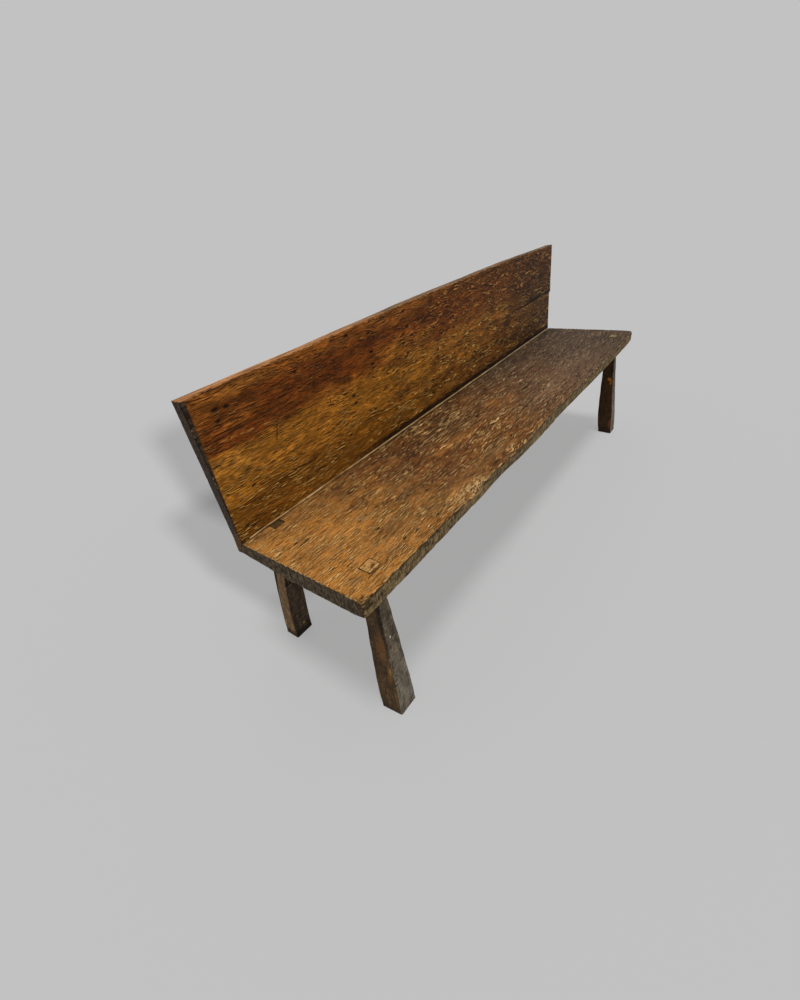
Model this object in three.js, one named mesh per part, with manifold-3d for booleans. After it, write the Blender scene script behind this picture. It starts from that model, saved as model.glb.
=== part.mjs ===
// A monks bench: a long plank seat with a leaning plank back, on four hewn legs whose
// tenons come up through the seat. Millimetres, +Z up, X along the bench, and whoever
// sits on it faces -Y. The origin is on the floor, under the middle of the whole bench.

import * as THREE from "three";
import { mergeVertices } from "three/addons/utils/BufferGeometryUtils.js";
import Module from "manifold-3d";

const wasm = await Module();
wasm.setup();

// Driving dimensions

// Seat plank
const seatLength = 1860;
const seatHeight = 430; // floor to the top of the seat
const seatDepth = 362; // front face of the back plank to the front edge
const seatThickness = 45;
const seatEdgeThickness = 42; // along the front edge
const seatRearThickness = 34; // the underside is hewn thinner towards the back
const rearTaperRun = 165; // how far in front of the back plank that starts
const rearBevelRun = 18; // how far the rear edge slopes out on its way down
const seatArris = 3;
const cornerWear = 7; // how far the seat's ends are rounded back at the front corners
const frontWave = 9; // the most that the hewn front edge strays from its line
const lowerHewRun = 30; // width of the strip hewn off the underside along the front edge

// Back plank
const backHeight = 354; // above the seat, along the plank, where its top edge stands highest
const backEndDrop = 9; // how far the top edge falls away to both ends
const backThickness = 31;
const backLean = THREE.MathUtils.degToRad(3);
const backArris = 2.5;
const leftOverhang = 12; // past the seat's left end, at the top
const rightOverhang = 6; // past the seat's right end, above the split
const splitHeight = 163;
const splitLength = 425;
const splitMouth = 3;
const splitTip = 0.3; // width of the slit where the split begins
const splitStep = 14; // how far the plank's end steps in below the split
const footStep = 5; // how far it still does at the plank's foot

// Lath over the seam between seat and back
const lathWidth = 4.5;
const lathThickness = 3.5;
const lathWear = 1.2; // how much of its front arris is worn off
const lathSetback = 22; // from each end of the seat

// Legs
const frontLegWidth = 60;
const frontLegThickness = 60;
const frontTenonFromEnd = 90.5;
const frontTenonFromFront = 56; // from the seat's front edge
const frontFootOut = 11; // how far the foot stands nearer the end than the tenon
const frontFootForward = 36; // how far the foot stands in front of the tenon
const frontTenonWidth = 34;
const frontTenonThickness = 27;
const frontEndPlay = 0.6; // room at each end of the front tenons
const frontFootSkew = 6; // how far the foot's front side is shifted towards the middle
const rearLegWidth = 61;
const rearLegThickness = 47;
const rearTenonFromEnd = 96.5;
const rearTenonFromBack = 15;
const rearHeadIn = 6; // how far the leg's top stands farther from the end than the tenon
const rearHeadBack = 9; // how far the leg's top stands behind the tenon
const rearFootIn = 14; // how far the foot stands farther from the end than the tenon
const rearFootBack = 68; // how far the foot stands behind the tenon
const rearTenonWidth = 28;
const rearTenonThickness = 21;
const rearEndPlay = 2.4; // room at each end of the rear tenons, which are a loose fit
const rearTenonSunk = 1.5; // how far their end grain lies below the seat's top
const legArris = 9; // widest cut along a leg's corners, just under the seat
const footArris = 2.5;

// Wedges in the front tenons
const wedgeThickness = 4.6;
const wedgeTip = 1.6;
const wedgeLength = 36;

// Nails that hold the back plank's foot to the seat
const nailLength = 76; // under the head
const nailThickness = 5.5;
const nailTipThickness = 1.8;
const nailHeadWidth = 15;
const nailHeadCrown = 5; // width of the flat left by the last hammer blow
const nailHeadHeight = 3.2;

// Clearances
const touching = 0.35; // between pieces that bear on each other
const mortisePlay = 0.5; // between a tenon's long sides and its mortise
const overrun = 12; // how far a cutting shape runs past what it cuts

// Shares that give the hewn pieces their shape

// Front edge, from left to right: place along the seat, and how far its upper and its lower
// arris stand forward of their line, as shares of frontWave
const frontEdgeShares = [
  [0, -0.15, 0],
  [0.04, 0, 0],
  [0.15, 0.1, 0],
  [0.185, 0.35, -0.15],
  [0.215, 0.75, -0.15],
  [0.258, -0.6, -0.1],
  [0.29, 0.2, -0.4],
  [0.32, 0.5, -0.5],
  [0.385, 0.9, 0.1],
  [0.42, 0.6, 0.2],
  [0.46, 0.1, 0.2],
  [0.55, 0.1, -0.2],
  [0.62, 0.3, -0.1],
  [0.755, 0.45, 0.1],
  [0.885, 0.7, 0.1],
  [0.94, 0.5, -0.1],
  [1, -0.25, -0.4],
];

// Top edge of the back, from left to right: place along the plank, and how much of backEndDrop
// it has fallen there
const backTopShares = [
  [0, 1],
  [0.16, 0.78],
  [0.29, 0.33],
  [0.41, 0],
  [0.745, 0],
  [0.82, 0.33],
  [0.905, 0.67],
  [1, 1],
];

// Legs, from foot to shoulder: height, width, thickness and how much the corners are cut
const frontLegShares = [
  [0, 0.98, 0.87, 0.3],
  [0.1, 0.95, 0.95, 0.3],
  [0.22, 0.88, 0.98, 0.35],
  [0.36, 0.84, 0.91, 0.4],
  [0.52, 0.84, 0.81, 0.5],
  [0.74, 0.78, 0.7, 0.75],
  [0.9, 0.7, 0.64, 0.95],
  [1, 0.66, 0.62, 1],
];
const rearLegShares = [
  [0, 0.98, 0.95, 0.25],
  [0.12, 1, 0.91, 0.3],
  [0.25, 1, 0.87, 0.3],
  [0.45, 0.96, 0.88, 0.4],
  [0.65, 0.88, 0.96, 0.6],
  [0.82, 0.82, 1, 0.85],
  [1, 0.75, 0.95, 1],
];
const frontLegBend = 0.8; // under 1 the lower part leans most, over 1 the upper part
const rearLegBend = 1.35;
const nailPlaceShares = [0.03, 0.2, 0.4, 0.6, 0.8, 0.97];

// Counts
const edgeStepsPerRow = 2; // stations along the seat for each row of its front edge

// Solids and geometries

function solidOf(geometry, matrix = new THREE.Matrix4()) {
  const bare = geometry.clone().applyMatrix4(matrix);
  bare.deleteAttribute("normal");
  bare.deleteAttribute("uv");
  const merged = mergeVertices(bare);
  return new wasm.Manifold(
    new wasm.Mesh({
      numProp: 3,
      vertProperties: merged.attributes.position.array,
      triVerts: new Uint32Array(merged.index.array),
    }),
  );
}

function geometryOf(solid) {
  const { vertProperties, triVerts } = solid.getMesh();
  const indexed = new THREE.BufferGeometry();
  indexed.setAttribute("position", new THREE.BufferAttribute(vertProperties, 3));
  indexed.setIndex(new THREE.BufferAttribute(triVerts, 1));
  const faceted = indexed.toNonIndexed();
  faceted.computeVertexNormals();
  return faceted;
}

// Skins a closed body through a row of outlines with the same number of points, each
// counterclockwise when seen from the last one, and closes both ends.
function loft(outlines) {
  const count = outlines[0].length;
  const last = (outlines.length - 1) * count;
  const faces = [];
  for (let ring = 0; ring < last; ring += count) {
    for (let side = 0; side < count; side++) {
      const a = ring + side;
      const b = ring + ((side + 1) % count);
      faces.push(a, b, b + count, a, b + count, a + count);
    }
  }
  for (let side = 1; side < count - 1; side++) {
    faces.push(0, side + 1, side, last, last + side, last + side + 1);
  }
  const geometry = new THREE.BufferGeometry();
  geometry.setFromPoints(outlines.flat());
  geometry.setIndex(faces);
  return geometry;
}

// A [y, z] outline set up across the bench at x
function across(x, outline) {
  return outline.map(([y, z]) => new THREE.Vector3(x, y, z));
}

function wood(colour, roughness) {
  return new THREE.MeshStandardMaterial({ color: colour, roughness, metalness: 0 });
}

function add(group, name, geometry, material) {
  const mesh = new THREE.Mesh(geometry, material);
  mesh.name = name;
  group.add(mesh);
  return mesh;
}

const bench = new THREE.Group();

// The back plank and its nails stand in a frame of their own, which leans back about the
// line where the plank's front face meets the top of the seat.
const backFrame = new THREE.Group();
backFrame.position.z = seatHeight;
backFrame.rotation.x = -backLean;
backFrame.updateMatrix();
bench.add(backFrame);

// Nails

function nailShank(room) {
  const half = (nailThickness / 2 + room) * Math.SQRT2;
  const tip = (nailTipThickness / 2 + room) * Math.SQRT2;
  const reach = nailLength + room;
  const shank = new THREE.CylinderGeometry(half, tip, reach, 4);
  shank.rotateY(Math.PI / 4);
  shank.translate(0, -reach / 2, 0);
  return shank;
}

function nail() {
  const head = new THREE.CylinderGeometry(nailHeadCrown / 2, nailHeadWidth / 2, nailHeadHeight, 6);
  head.translate(0, nailHeadHeight / 2, 0);
  return solidOf(nailShank(0)).add(solidOf(head));
}

const nailPlaces = nailPlaceShares.map(
  (share) =>
    new THREE.Vector3(
      (share - 0.5) * seatLength,
      backThickness + touching,
      -seatRearThickness / 2,
    ),
);

// Every nail's hole, in the frame of the back plank
const nailHoles = nailPlaces
  .map((place) =>
    solidOf(nailShank(touching), new THREE.Matrix4().setPosition(place)),
  )
  .reduce((all, hole) => all.add(hole));

// Legs

function legOutline(centre, width, thickness, cut, skew) {
  const corners = [
    [1, -1],
    [1, 1],
    [-1, 1],
    [-1, -1],
  ];
  return corners.flatMap(([right, rear]) => {
    const onFront = [right * (width / 2 - cut), (rear * thickness) / 2];
    const onSide = [(right * width) / 2, rear * (thickness / 2 - cut)];
    const pair = right * rear < 0 ? [onFront, onSide] : [onSide, onFront];
    return pair.map(
      ([x, y]) =>
        new THREE.Vector3(centre.x + x - (skew * y) / thickness, centre.y + y, centre.z),
    );
  });
}

const frontLeg = {
  width: frontLegWidth,
  thickness: frontLegThickness,
  shares: frontLegShares,
  bend: frontLegBend,
  tenonFromEnd: frontTenonFromEnd,
  tenonFromBack: seatDepth - frontTenonFromFront,
  headOut: 0,
  headBack: 0,
  footOut: frontFootOut,
  footBack: -frontFootForward,
  skew: frontFootSkew,
  shoulder: seatHeight - seatThickness,
  tenonWidth: frontTenonWidth,
  tenonThickness: frontTenonThickness,
  tenonTop: seatHeight,
  endPlay: frontEndPlay,
};

const rearLeg = {
  width: rearLegWidth,
  thickness: rearLegThickness,
  shares: rearLegShares,
  bend: rearLegBend,
  tenonFromEnd: rearTenonFromEnd,
  tenonFromBack: rearTenonFromBack,
  headOut: -rearHeadIn,
  headBack: rearHeadBack,
  footOut: -rearFootIn,
  footBack: rearFootBack,
  skew: 0,
  shoulder: seatHeight - seatRearThickness,
  tenonWidth: rearTenonWidth,
  tenonThickness: rearTenonThickness,
  tenonTop: seatHeight - rearTenonSunk,
  endPlay: rearEndPlay,
};

// A leg's body about its tenon's axis, with its foot on the floor. side is -1 at the left
// end of the bench and 1 at the right.
function legBody(leg, side) {
  const top = leg.shoulder - touching;
  const ring = ([height, width, thickness, cut], z, inset) => {
    const up = height ** leg.bend;
    const out = THREE.MathUtils.lerp(leg.footOut, leg.headOut, up);
    const back = THREE.MathUtils.lerp(leg.footBack, leg.headBack, up);
    const centre = new THREE.Vector3(side * out, back, z);
    return legOutline(
      centre,
      leg.width * width - 2 * inset,
      leg.thickness * thickness - 2 * inset,
      legArris * cut,
      -side * leg.skew * (1 - height),
    );
  };
  const foot = ring(leg.shares[0], 0, footArris);
  const rings = leg.shares.map((row, i) => ring(row, i === 0 ? footArris : row[0] * top, 0));
  return loft([foot, ...rings]);
}

// An upright box about a leg's axis, from one height to another
function upright(width, thickness, low, high) {
  const box = new THREE.BoxGeometry(width, thickness, high - low);
  box.translate(0, 0, (low + high) / 2);
  return box;
}

function tenon(leg) {
  return upright(leg.tenonWidth, leg.tenonThickness, leg.shoulder - seatThickness, leg.tenonTop);
}

function mortise(leg) {
  return upright(
    leg.tenonWidth + 2 * leg.endPlay,
    leg.tenonThickness + 2 * mortisePlay,
    leg.shoulder - seatThickness,
    seatHeight + overrun,
  );
}

// The wedge stands against the front of its mortise, and the tenon makes room for it.
function wedge(room) {
  const front = -frontTenonThickness / 2;
  const half = frontTenonWidth / 2;
  const outline = [
    [front - room, seatHeight - wedgeLength - room],
    [front + wedgeTip + room, seatHeight - wedgeLength - room],
    [front + wedgeThickness + room, seatHeight],
    [front - room, seatHeight],
  ];
  return loft([across(-half - room, outline), across(half + room, outline)]);
}

// Seat

// The seat's outline across the bench: how far its upper and its lower front arris stand
// forward, and how far the whole outline is drawn in at a rounded end
function seatOutline(upperForward, lowerForward, drawnIn) {
  const top = seatHeight - drawnIn;
  const under = seatHeight - seatThickness + drawnIn;
  const lower = seatHeight - seatEdgeThickness + drawnIn;
  const upperFront = -seatDepth - upperForward;
  const lowerFront = -seatDepth - lowerForward;
  const rearDrop = seatRearThickness - drawnIn;
  const rear = (rearBevelRun * rearDrop) / seatRearThickness - touching;
  return [
    [-touching, top],
    [upperFront + seatArris, top],
    [upperFront, top - seatArris],
    [lowerFront, lower + seatArris],
    [lowerFront + seatArris, lower],
    [-seatDepth + lowerHewRun, under],
    [-rearTaperRun, under],
    [rear, seatHeight - rearDrop],
  ];
}

const seatEnd = seatLength / 2;
const edgeLine = new THREE.CatmullRomCurve3(
  frontEdgeShares.map(
    ([place, upper, lower]) =>
      new THREE.Vector3(
        (place * 2 - 1) * (seatEnd - seatArris),
        upper * frontWave,
        lower * frontWave,
      ),
  ),
);
const edgePoints = edgeLine.getPoints(frontEdgeShares.length * edgeStepsPerRow);

function seatBlank() {
  const stations = edgePoints.map((point) => across(point.x, seatOutline(point.y, point.z, 0)));
  const endStation = (side, point) =>
    across(
      side * seatEnd,
      seatOutline(point.y - cornerWear, point.z - cornerWear, seatArris / 2),
    );
  return loft([endStation(-1, edgePoints[0]), ...stations, endStation(1, edgePoints.at(-1))]);
}

const seatSolid = solidOf(seatBlank());

// Where each leg stands, by the name of its node
const legPlaces = [
  ["leg_front_left", frontLeg, -1],
  ["leg_front_right", frontLeg, 1],
  ["leg_rear_left", rearLeg, -1],
  ["leg_rear_right", rearLeg, 1],
].map(([name, leg, side]) => ({
  name,
  leg,
  side,
  position: new THREE.Vector3(side * (seatEnd - leg.tenonFromEnd), -leg.tenonFromBack, 0),
}));

let seat = seatSolid.subtract(nailHoles.transform(backFrame.matrix.elements));
for (const { leg, position } of legPlaces) {
  seat = seat.subtract(solidOf(mortise(leg), new THREE.Matrix4().setPosition(position)));
}
add(bench, "seat_plank", geometryOf(seat), wood("#7a4e26", 0.62));

// A leg's shoulder follows the underside of the seat, which it bears on.
for (const { name, leg, side, position } of legPlaces) {
  const aboveShoulder = seatSolid.translate(-position.x, -position.y, -touching);
  let solid = solidOf(legBody(leg, side)).subtract(aboveShoulder).add(solidOf(tenon(leg)));
  if (leg === frontLeg) {
    solid = solid.subtract(solidOf(wedge(touching)));
  }
  add(bench, name, geometryOf(solid), wood("#453322", 0.78)).position.copy(position);
  if (leg === frontLeg) {
    const wedgeName = name.replace("leg", "wedge");
    add(bench, wedgeName, wedge(0), wood("#a98852", 0.75)).position.copy(position);
  }
}

// Back plank

// The plank's face, from its foot to its top edge, in the leaning frame
function backBoard() {
  const foot = -seatRearThickness;
  const left = -seatEnd - leftOverhang;
  const right = seatEnd + rightOverhang;
  const topEdge = backTopShares.map(([along, fallen]) => {
    return new THREE.Vector2(left + (right - left) * along, backHeight - backEndDrop * fallen);
  });
  const face = new THREE.Shape([
    new THREE.Vector2(-seatEnd, foot),
    new THREE.Vector2(seatEnd - footStep, foot),
    new THREE.Vector2(seatEnd - footStep, 0),
    new THREE.Vector2(right - splitStep, splitHeight - splitMouth),
    new THREE.Vector2(right, splitHeight),
    ...topEdge.reverse(),
    new THREE.Vector2(-seatEnd, 0),
  ]);
  const board = new THREE.ExtrudeGeometry(face, {
    depth: backThickness - 2 * backArris,
    bevelThickness: backArris,
    bevelSize: backArris,
    bevelOffset: -backArris,
    bevelSegments: 1,
  });
  board.rotateX(Math.PI / 2);
  board.translate(0, backThickness - backArris, 0);
  return board;
}

// What the seat's sloping rear edge takes off the plank's foot, in the bench's own frame
function footCut() {
  const drop = seatRearThickness + overrun;
  const outline = [
    [0, seatHeight],
    [-overrun, seatHeight],
    [-overrun, seatHeight - drop],
    [(rearBevelRun * drop) / seatRearThickness, seatHeight - drop],
  ];
  const half = seatEnd + overrun;
  return loft([across(-half, outline), across(half, outline)]);
}

// The drying split runs in from the right end and closes to nothing.
function split() {
  const mouth = seatEnd + rightOverhang + overrun;
  const tip = mouth - splitLength - overrun;
  const slit = (x, half) =>
    across(x, [
      [-overrun, splitHeight - splitMouth / 2 - half],
      [backThickness + overrun, splitHeight - splitMouth / 2 - half],
      [backThickness + overrun, splitHeight - splitMouth / 2 + half],
      [-overrun, splitHeight - splitMouth / 2 + half],
    ]);
  return loft([slit(tip, splitTip / 2), slit(mouth, splitMouth / 2)]);
}

const toBackFrame = backFrame.matrix.clone().invert();
const back = solidOf(backBoard())
  .subtract(solidOf(footCut(), toBackFrame))
  .subtract(solidOf(split()))
  .subtract(nailHoles);
add(backFrame, "back_plank", geometryOf(back), wood("#6e411c", 0.6));

const nailGeometry = geometryOf(nail());
const iron = new THREE.MeshStandardMaterial({ color: "#2f2a27", roughness: 0.7, metalness: 0.85 });
nailPlaces.forEach((place, i) => {
  add(backFrame, `back_nail_${i + 1}`, nailGeometry, iron.clone()).position.copy(place);
});

// Seam lath

function lath() {
  const low = seatHeight + touching;
  const outline = [
    [-touching, low],
    [-touching, low + lathThickness],
    [-touching - lathWidth + lathWear, low + lathThickness],
    [-touching - lathWidth, low + lathThickness - lathWear],
    [-touching - lathWidth, low],
  ];
  const half = seatEnd - lathSetback;
  return loft([across(-half, outline), across(half, outline)]);
}
add(bench, "seam_lath", lath(), wood("#b59a6c", 0.8));

// The bench is moved so that the origin is under the middle of its whole outline.
const part = new THREE.Group();
part.add(bench);
part.updateMatrixWorld(true);
const middle = new THREE.Box3().setFromObject(part, true).getCenter(new THREE.Vector3());
bench.position.set(-middle.x, -middle.y, 0);

export default part;
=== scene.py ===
import math

import bpy
import numpy as np
from mathutils import Matrix, Vector, noise


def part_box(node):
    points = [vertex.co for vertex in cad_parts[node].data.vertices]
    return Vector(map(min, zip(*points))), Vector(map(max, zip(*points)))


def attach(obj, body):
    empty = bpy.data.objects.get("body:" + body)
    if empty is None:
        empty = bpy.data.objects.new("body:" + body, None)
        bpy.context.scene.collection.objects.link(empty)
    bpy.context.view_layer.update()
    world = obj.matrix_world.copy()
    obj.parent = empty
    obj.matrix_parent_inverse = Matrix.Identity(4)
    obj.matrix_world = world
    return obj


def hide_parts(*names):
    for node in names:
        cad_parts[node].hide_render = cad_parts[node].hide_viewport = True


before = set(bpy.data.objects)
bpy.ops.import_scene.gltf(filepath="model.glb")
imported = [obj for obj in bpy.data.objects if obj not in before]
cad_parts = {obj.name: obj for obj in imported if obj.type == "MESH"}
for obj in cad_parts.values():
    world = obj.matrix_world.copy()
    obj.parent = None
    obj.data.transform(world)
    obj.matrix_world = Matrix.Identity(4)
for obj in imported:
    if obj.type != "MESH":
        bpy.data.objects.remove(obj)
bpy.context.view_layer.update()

# View
# The camera stands in front of the bench's left end, at about the height of its back, and looks
# down along it. Its place, angle, roll and lens are the photograph's.
camera_place = Vector((-1.3328, -0.6500, 1.0314))
camera_heading = math.radians(45.682)  # from straight at the back, towards the right end
camera_dip = math.radians(34.475)
camera_roll = math.radians(-9.496)
sensor_width = 36
long_side_pixels = 1000
focal_pixels = 450.4
centre_pixel = (400, 500)
principal_pixel = (363.6, 516.4)

camera = bpy.data.objects.new("camera", bpy.data.cameras.new("camera"))
bpy.context.scene.collection.objects.link(camera)
bpy.context.scene.camera = camera
camera.data.sensor_width = sensor_width
camera.data.lens = sensor_width * focal_pixels / long_side_pixels
camera.data.shift_x = (centre_pixel[0] - principal_pixel[0]) / long_side_pixels
camera.data.shift_y = (principal_pixel[1] - centre_pixel[1]) / long_side_pixels
forward = Vector((
    math.sin(camera_heading) * math.cos(camera_dip),
    math.cos(camera_heading) * math.cos(camera_dip),
    -math.sin(camera_dip),
))
level = forward.cross(Vector((0, 0, 1))).normalized()
raised = level.cross(forward)
to_right = level * math.cos(camera_roll) + raised * math.sin(camera_roll)
upwards = raised * math.cos(camera_roll) - level * math.sin(camera_roll)
turned = Matrix((to_right, upwards, -forward)).transposed().to_4x4()
camera.matrix_world = Matrix.Translation(camera_place) @ turned


# Floor and light
# A plain pale floor that runs on into a backdrop of the same grey. A soft lamp stands high over
# the bench's near end. Two lower ones light the floor alone, and the rest comes from all round.


class Tone:
    """A number, a vector or a colour on its way through a tree of nodes. Python's own signs between
    tones add the nodes for their sum or product."""

    def __init__(self, nodes, socket):
        self.nodes = nodes
        self.socket = socket

    def __add__(self, other):
        return self.nodes.sign("ADD", self, other)

    def __sub__(self, other):
        return self.nodes.sign("SUBTRACT", self, other)

    def __rsub__(self, other):
        return self.nodes.sign("SUBTRACT", other, self)

    def __mul__(self, other):
        return self.nodes.sign("MULTIPLY", self, other)

    def __truediv__(self, other):
        return self.nodes.sign("DIVIDE", self, other)

    __radd__ = __add__
    __rmul__ = __mul__

    def parts(self):
        node = self.nodes.node("ShaderNodeSeparateXYZ", {}, {0: self}).socket.node
        return [Tone(self.nodes, socket) for socket in node.outputs]


class Nodes:
    """A tree of nodes for a finish, for a mesh or for the light all round."""

    def __init__(self, tree):
        self.tree = tree

    def node(self, kind, settings, values, output=0):
        """Any node: its settings first, then a value or another tone for each of its sockets."""
        node = self.tree.nodes.new(kind)
        for setting, value in settings.items():
            setattr(node, setting, value)
        for place, value in values.items():
            socket = node.inputs[place]
            if isinstance(value, Tone):
                self.tree.links.new(value.socket, socket)
            elif socket.type == "VECTOR" and not hasattr(value, "__len__"):
                socket.default_value = (value, value, value)
            elif socket.type == "RGBA" and len(value) == 3:
                socket.default_value = (*value, 1)
            else:
                socket.default_value = value
        return Tone(self, node.outputs[output]) if len(node.outputs) else node

    def sign(self, operation, first, second):
        numbers = all(
            v.socket.type == "VALUE" if isinstance(v, Tone) else not hasattr(v, "__len__")
            for v in (first, second)
        )
        kind = "ShaderNodeMath" if numbers else "ShaderNodeVectorMath"
        return self.node(kind, {"operation": operation}, {0: first, 1: second})

    def sum(self, operation, *values, kind="ShaderNodeMath", output=0):
        """A sum that has no sign in Python, such as the larger of two tones."""
        return self.node(kind, {"operation": operation}, dict(enumerate(values)), output)

    def most(self, first, second):
        return self.sum("MAXIMUM", first, second)

    def cloud(self, place, spread, seed, detail=2.0, rough=0.5):
        """Soft random patches as large as spread, from about 0.2 to 0.8."""
        values = {"Vector": place / spread, "W": seed, "Scale": 1, "Detail": detail, "Roughness": rough}
        return self.node("ShaderNodeTexNoise", {"noise_dimensions": "4D"}, values)


def srgb(red, green, blue):
    """A colour as it looks on a screen, from 0 to 255, as the shaders want it."""
    shares = [level / 255 for level in (red, green, blue)]
    return tuple(s / 12.92 if s <= 0.04045 else ((s + 0.055) / 1.055) ** 2.4 for s in shares)


class Finish(Nodes):
    """A material with one shader. gloss is how strongly it reflects."""

    def __init__(self, name, gloss=0.10):
        self.material = bpy.data.materials.new(name)
        self.material.use_nodes = True
        super().__init__(self.material.node_tree)
        self.shader = self.tree.nodes["Principled BSDF"]
        self.shader.inputs["Specular IOR Level"].default_value = gloss


backdrop_grey = srgb(194, 194, 194)
floor_reach = 60
# Each lamp's share of the light on the floor, its height, its turn from straight in front
# towards the right end, and how soft its shadows are
lamps = {
    "high lamp": (0.55, math.radians(78), math.radians(-40), math.radians(13)),
    "middle floor lamp": (0.58, math.radians(37), math.radians(-13), math.radians(6)),
    "low floor lamp": (0.62, math.radians(19.5), math.radians(-19.5), math.radians(4.5)),
}
surround_share = 0.45
floor_level = backdrop_grey[0] / (surround_share + sum(lamp[0] for lamp in lamps.values()))
shadow_share = 0.90  # how much of the floor's own shading shows to the camera

bpy.context.scene.view_settings.view_transform = "Standard"

world = bpy.data.worlds.new("surround")
bpy.context.scene.world = world
world.use_nodes = True
world.node_tree.nodes.clear()
air = Nodes(world.node_tree)
seen = air.node("ShaderNodeBackground", {}, {"Color": backdrop_grey})
lighting = air.node("ShaderNodeBackground", {}, {"Color": (1, 1, 1), "Strength": surround_share})
rays = air.node("ShaderNodeLightPath", {}, {}).socket.node
any_seen = Tone(air, rays.outputs["Is Camera Ray"])
for ray in ("Is Glossy Ray", "Is Transmission Ray"):
    any_seen = air.most(any_seen, Tone(air, rays.outputs[ray]))
shown = air.node("ShaderNodeMixShader", {}, {0: any_seen, 1: lighting, 2: seen})
air.node("ShaderNodeOutputWorld", {}, {0: shown})

floor_only = bpy.data.collections.new("floor only")
boards = bpy.data.collections.new("boards")
for name, (share, lamp_height, lamp_turn, softness) in lamps.items():
    lamp = bpy.data.objects.new(name, bpy.data.lights.new(name, "SUN"))
    bpy.context.scene.collection.objects.link(lamp)
    lamp.data.energy = math.pi * share / math.sin(lamp_height)
    lamp.data.angle = softness
    towards_lamp = Vector((
        math.sin(lamp_turn) * math.cos(lamp_height),
        -math.cos(lamp_turn) * math.cos(lamp_height),
        math.sin(lamp_height),
    ))
    lamp.rotation_euler = towards_lamp.to_track_quat("Z", "Y").to_euler()
    if "floor" in name:
        lamp.light_linking.receiver_collection = floor_only
        lamp.light_linking.blocker_collection = boards

floor_mesh = bpy.data.meshes.new("floor")
floor_mesh.from_pydata(
    [(x * floor_reach, y * floor_reach, 0) for x, y in ((-1, -1), (1, -1), (1, 1), (-1, 1))],
    [],
    [(0, 1, 2, 3)],
)
floor = bpy.data.objects.new("floor", floor_mesh)
bpy.context.scene.collection.objects.link(floor)
floor_only.objects.link(floor)
floor_finish = Finish("floor", 0)
floor_finish.shader.inputs["Base Color"].default_value = (floor_level, floor_level, floor_level, 1)
floor_finish.shader.inputs["Roughness"].default_value = 1
even = floor_finish.node("ShaderNodeEmission", {}, {"Color": backdrop_grey, "Strength": 1})
to_camera = floor_finish.node("ShaderNodeLightPath", {}, {}, "Is Camera Ray")
own = Tone(floor_finish, floor_finish.shader.outputs[0])
shares = {0: to_camera * (1 - shadow_share), 1: own, 2: even}
evened = floor_finish.node("ShaderNodeMixShader", {}, shares)
floor_out = floor_finish.tree.nodes["Material Output"]
floor_finish.tree.links.new(evened.socket, floor_out.inputs["Surface"])
floor_mesh.materials.append(floor_finish.material)


# Seat plank
# One thick plank of oak, hewn flat above and thinner towards the back below. Its top is worn
# smooth and dark, its front edge strays as the axe left it, and four mortises go right through.
seat_low, seat_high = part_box("seat_plank")
lath_low, lath_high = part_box("seam_lath")
touching = 0.00035
seat_top = seat_high.z
seam = lath_high.y + touching  # where the back's front face meets the seat
seat_left = seat_low.x
seat_length = seat_high.x - seat_low.x
seat_depth = 0.362
seat_thickness = 0.045
seat_edge_thickness = 0.042
seat_rear_thickness = 0.034
rear_taper_run = 0.165
rear_bevel_run = 0.018
lower_hew_run = 0.030
front_wave = 0.009
end_proud = 0.0012  # how far the ends' worn skin stands out at its highest
legs_reach = 0.14  # the underside is left flat this far from the ends, for the legs
# Place along the seat, and how far its upper and lower front arris stand forward
front_edge_shares = np.array([
    [0, -0.15, 0], [0.04, 0, 0], [0.15, 0.1, 0], [0.185, 0.35, -0.15],
    [0.215, 0.75, -0.15], [0.258, -0.6, -0.1], [0.29, 0.2, -0.4], [0.32, 0.5, -0.5],
    [0.385, 0.9, 0.1], [0.42, 0.6, 0.2], [0.46, 0.1, 0.2], [0.55, 0.1, -0.2],
    [0.62, 0.3, -0.1], [0.755, 0.45, 0.1], [0.885, 0.7, 0.1], [0.94, 0.5, -0.1],
    [1, -0.25, -0.4],
])
seat_steps = (0.0052, 0.0048, 0.0056)  # its skin's grid, along, across and through
arris_lines = (0, 0.0007, 0.0016, 0.0028, 0.0045)
arris_radius = 0.0022
arris_stray = 0.0010  # how far the radius strays
arris_reach = 0.006  # how far in from an arris its wear shows
# Knocks take more off an arris: how much, how large and how rare they are, and their seed
seat_knocks = (0.0070, (0.014, 0.03, 0.03), 0.2, 5)
# The front corners are worn rounder: by how much below, how much more above, and how far along
corner_wear = (0.0020, 0.0130, 0.018)


def lines(low, high, step):
    """Grid lines from low to high, close together at both ends, where the arrises are."""
    edge = np.array(arris_lines)
    between = round((high - low - 2 * edge[-1]) / step) + 1
    inner = np.linspace(low + edge[-1], high - edge[-1], between)
    return np.concatenate([low + edge[:-1], inner, (high - edge[:-1])[::-1]])


def block(*grids):
    """The points and faces of a closed block between three rows of grid lines."""
    index, points, faces = {}, [], []

    def corner(place):
        if place not in index:
            index[place] = len(points)
            points.append([grid[i] for grid, i in zip(grids, place)])
        return index[place]

    for axis in range(3):
        wide, high = (axis + 1) % 3, (axis + 2) % 3
        for end in (0, len(grids[axis]) - 1):
            for i in range(len(grids[wide]) - 1):
                for j in range(len(grids[high]) - 1):
                    ring = ((i, j), (i + 1, j), (i + 1, j + 1), (i, j + 1))
                    face = []
                    for a, b in ring if end else ring[::-1]:
                        place = [0, 0, 0]
                        place[axis], place[wide], place[high] = end, a, b
                        face.append(corner(tuple(place)))
                    faces.append(face)
    return np.array(points), faces


def patches(points, spread, seed):
    """Soft random heights from about -1 to 1, one for each point, in patches as large as spread."""
    shift = Vector((seed * 7.3, seed * 3.1, seed * 5.7))
    stretched = points / np.array(spread)
    return np.array([noise.noise(Vector(point) + shift) for point in stretched])


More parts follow.
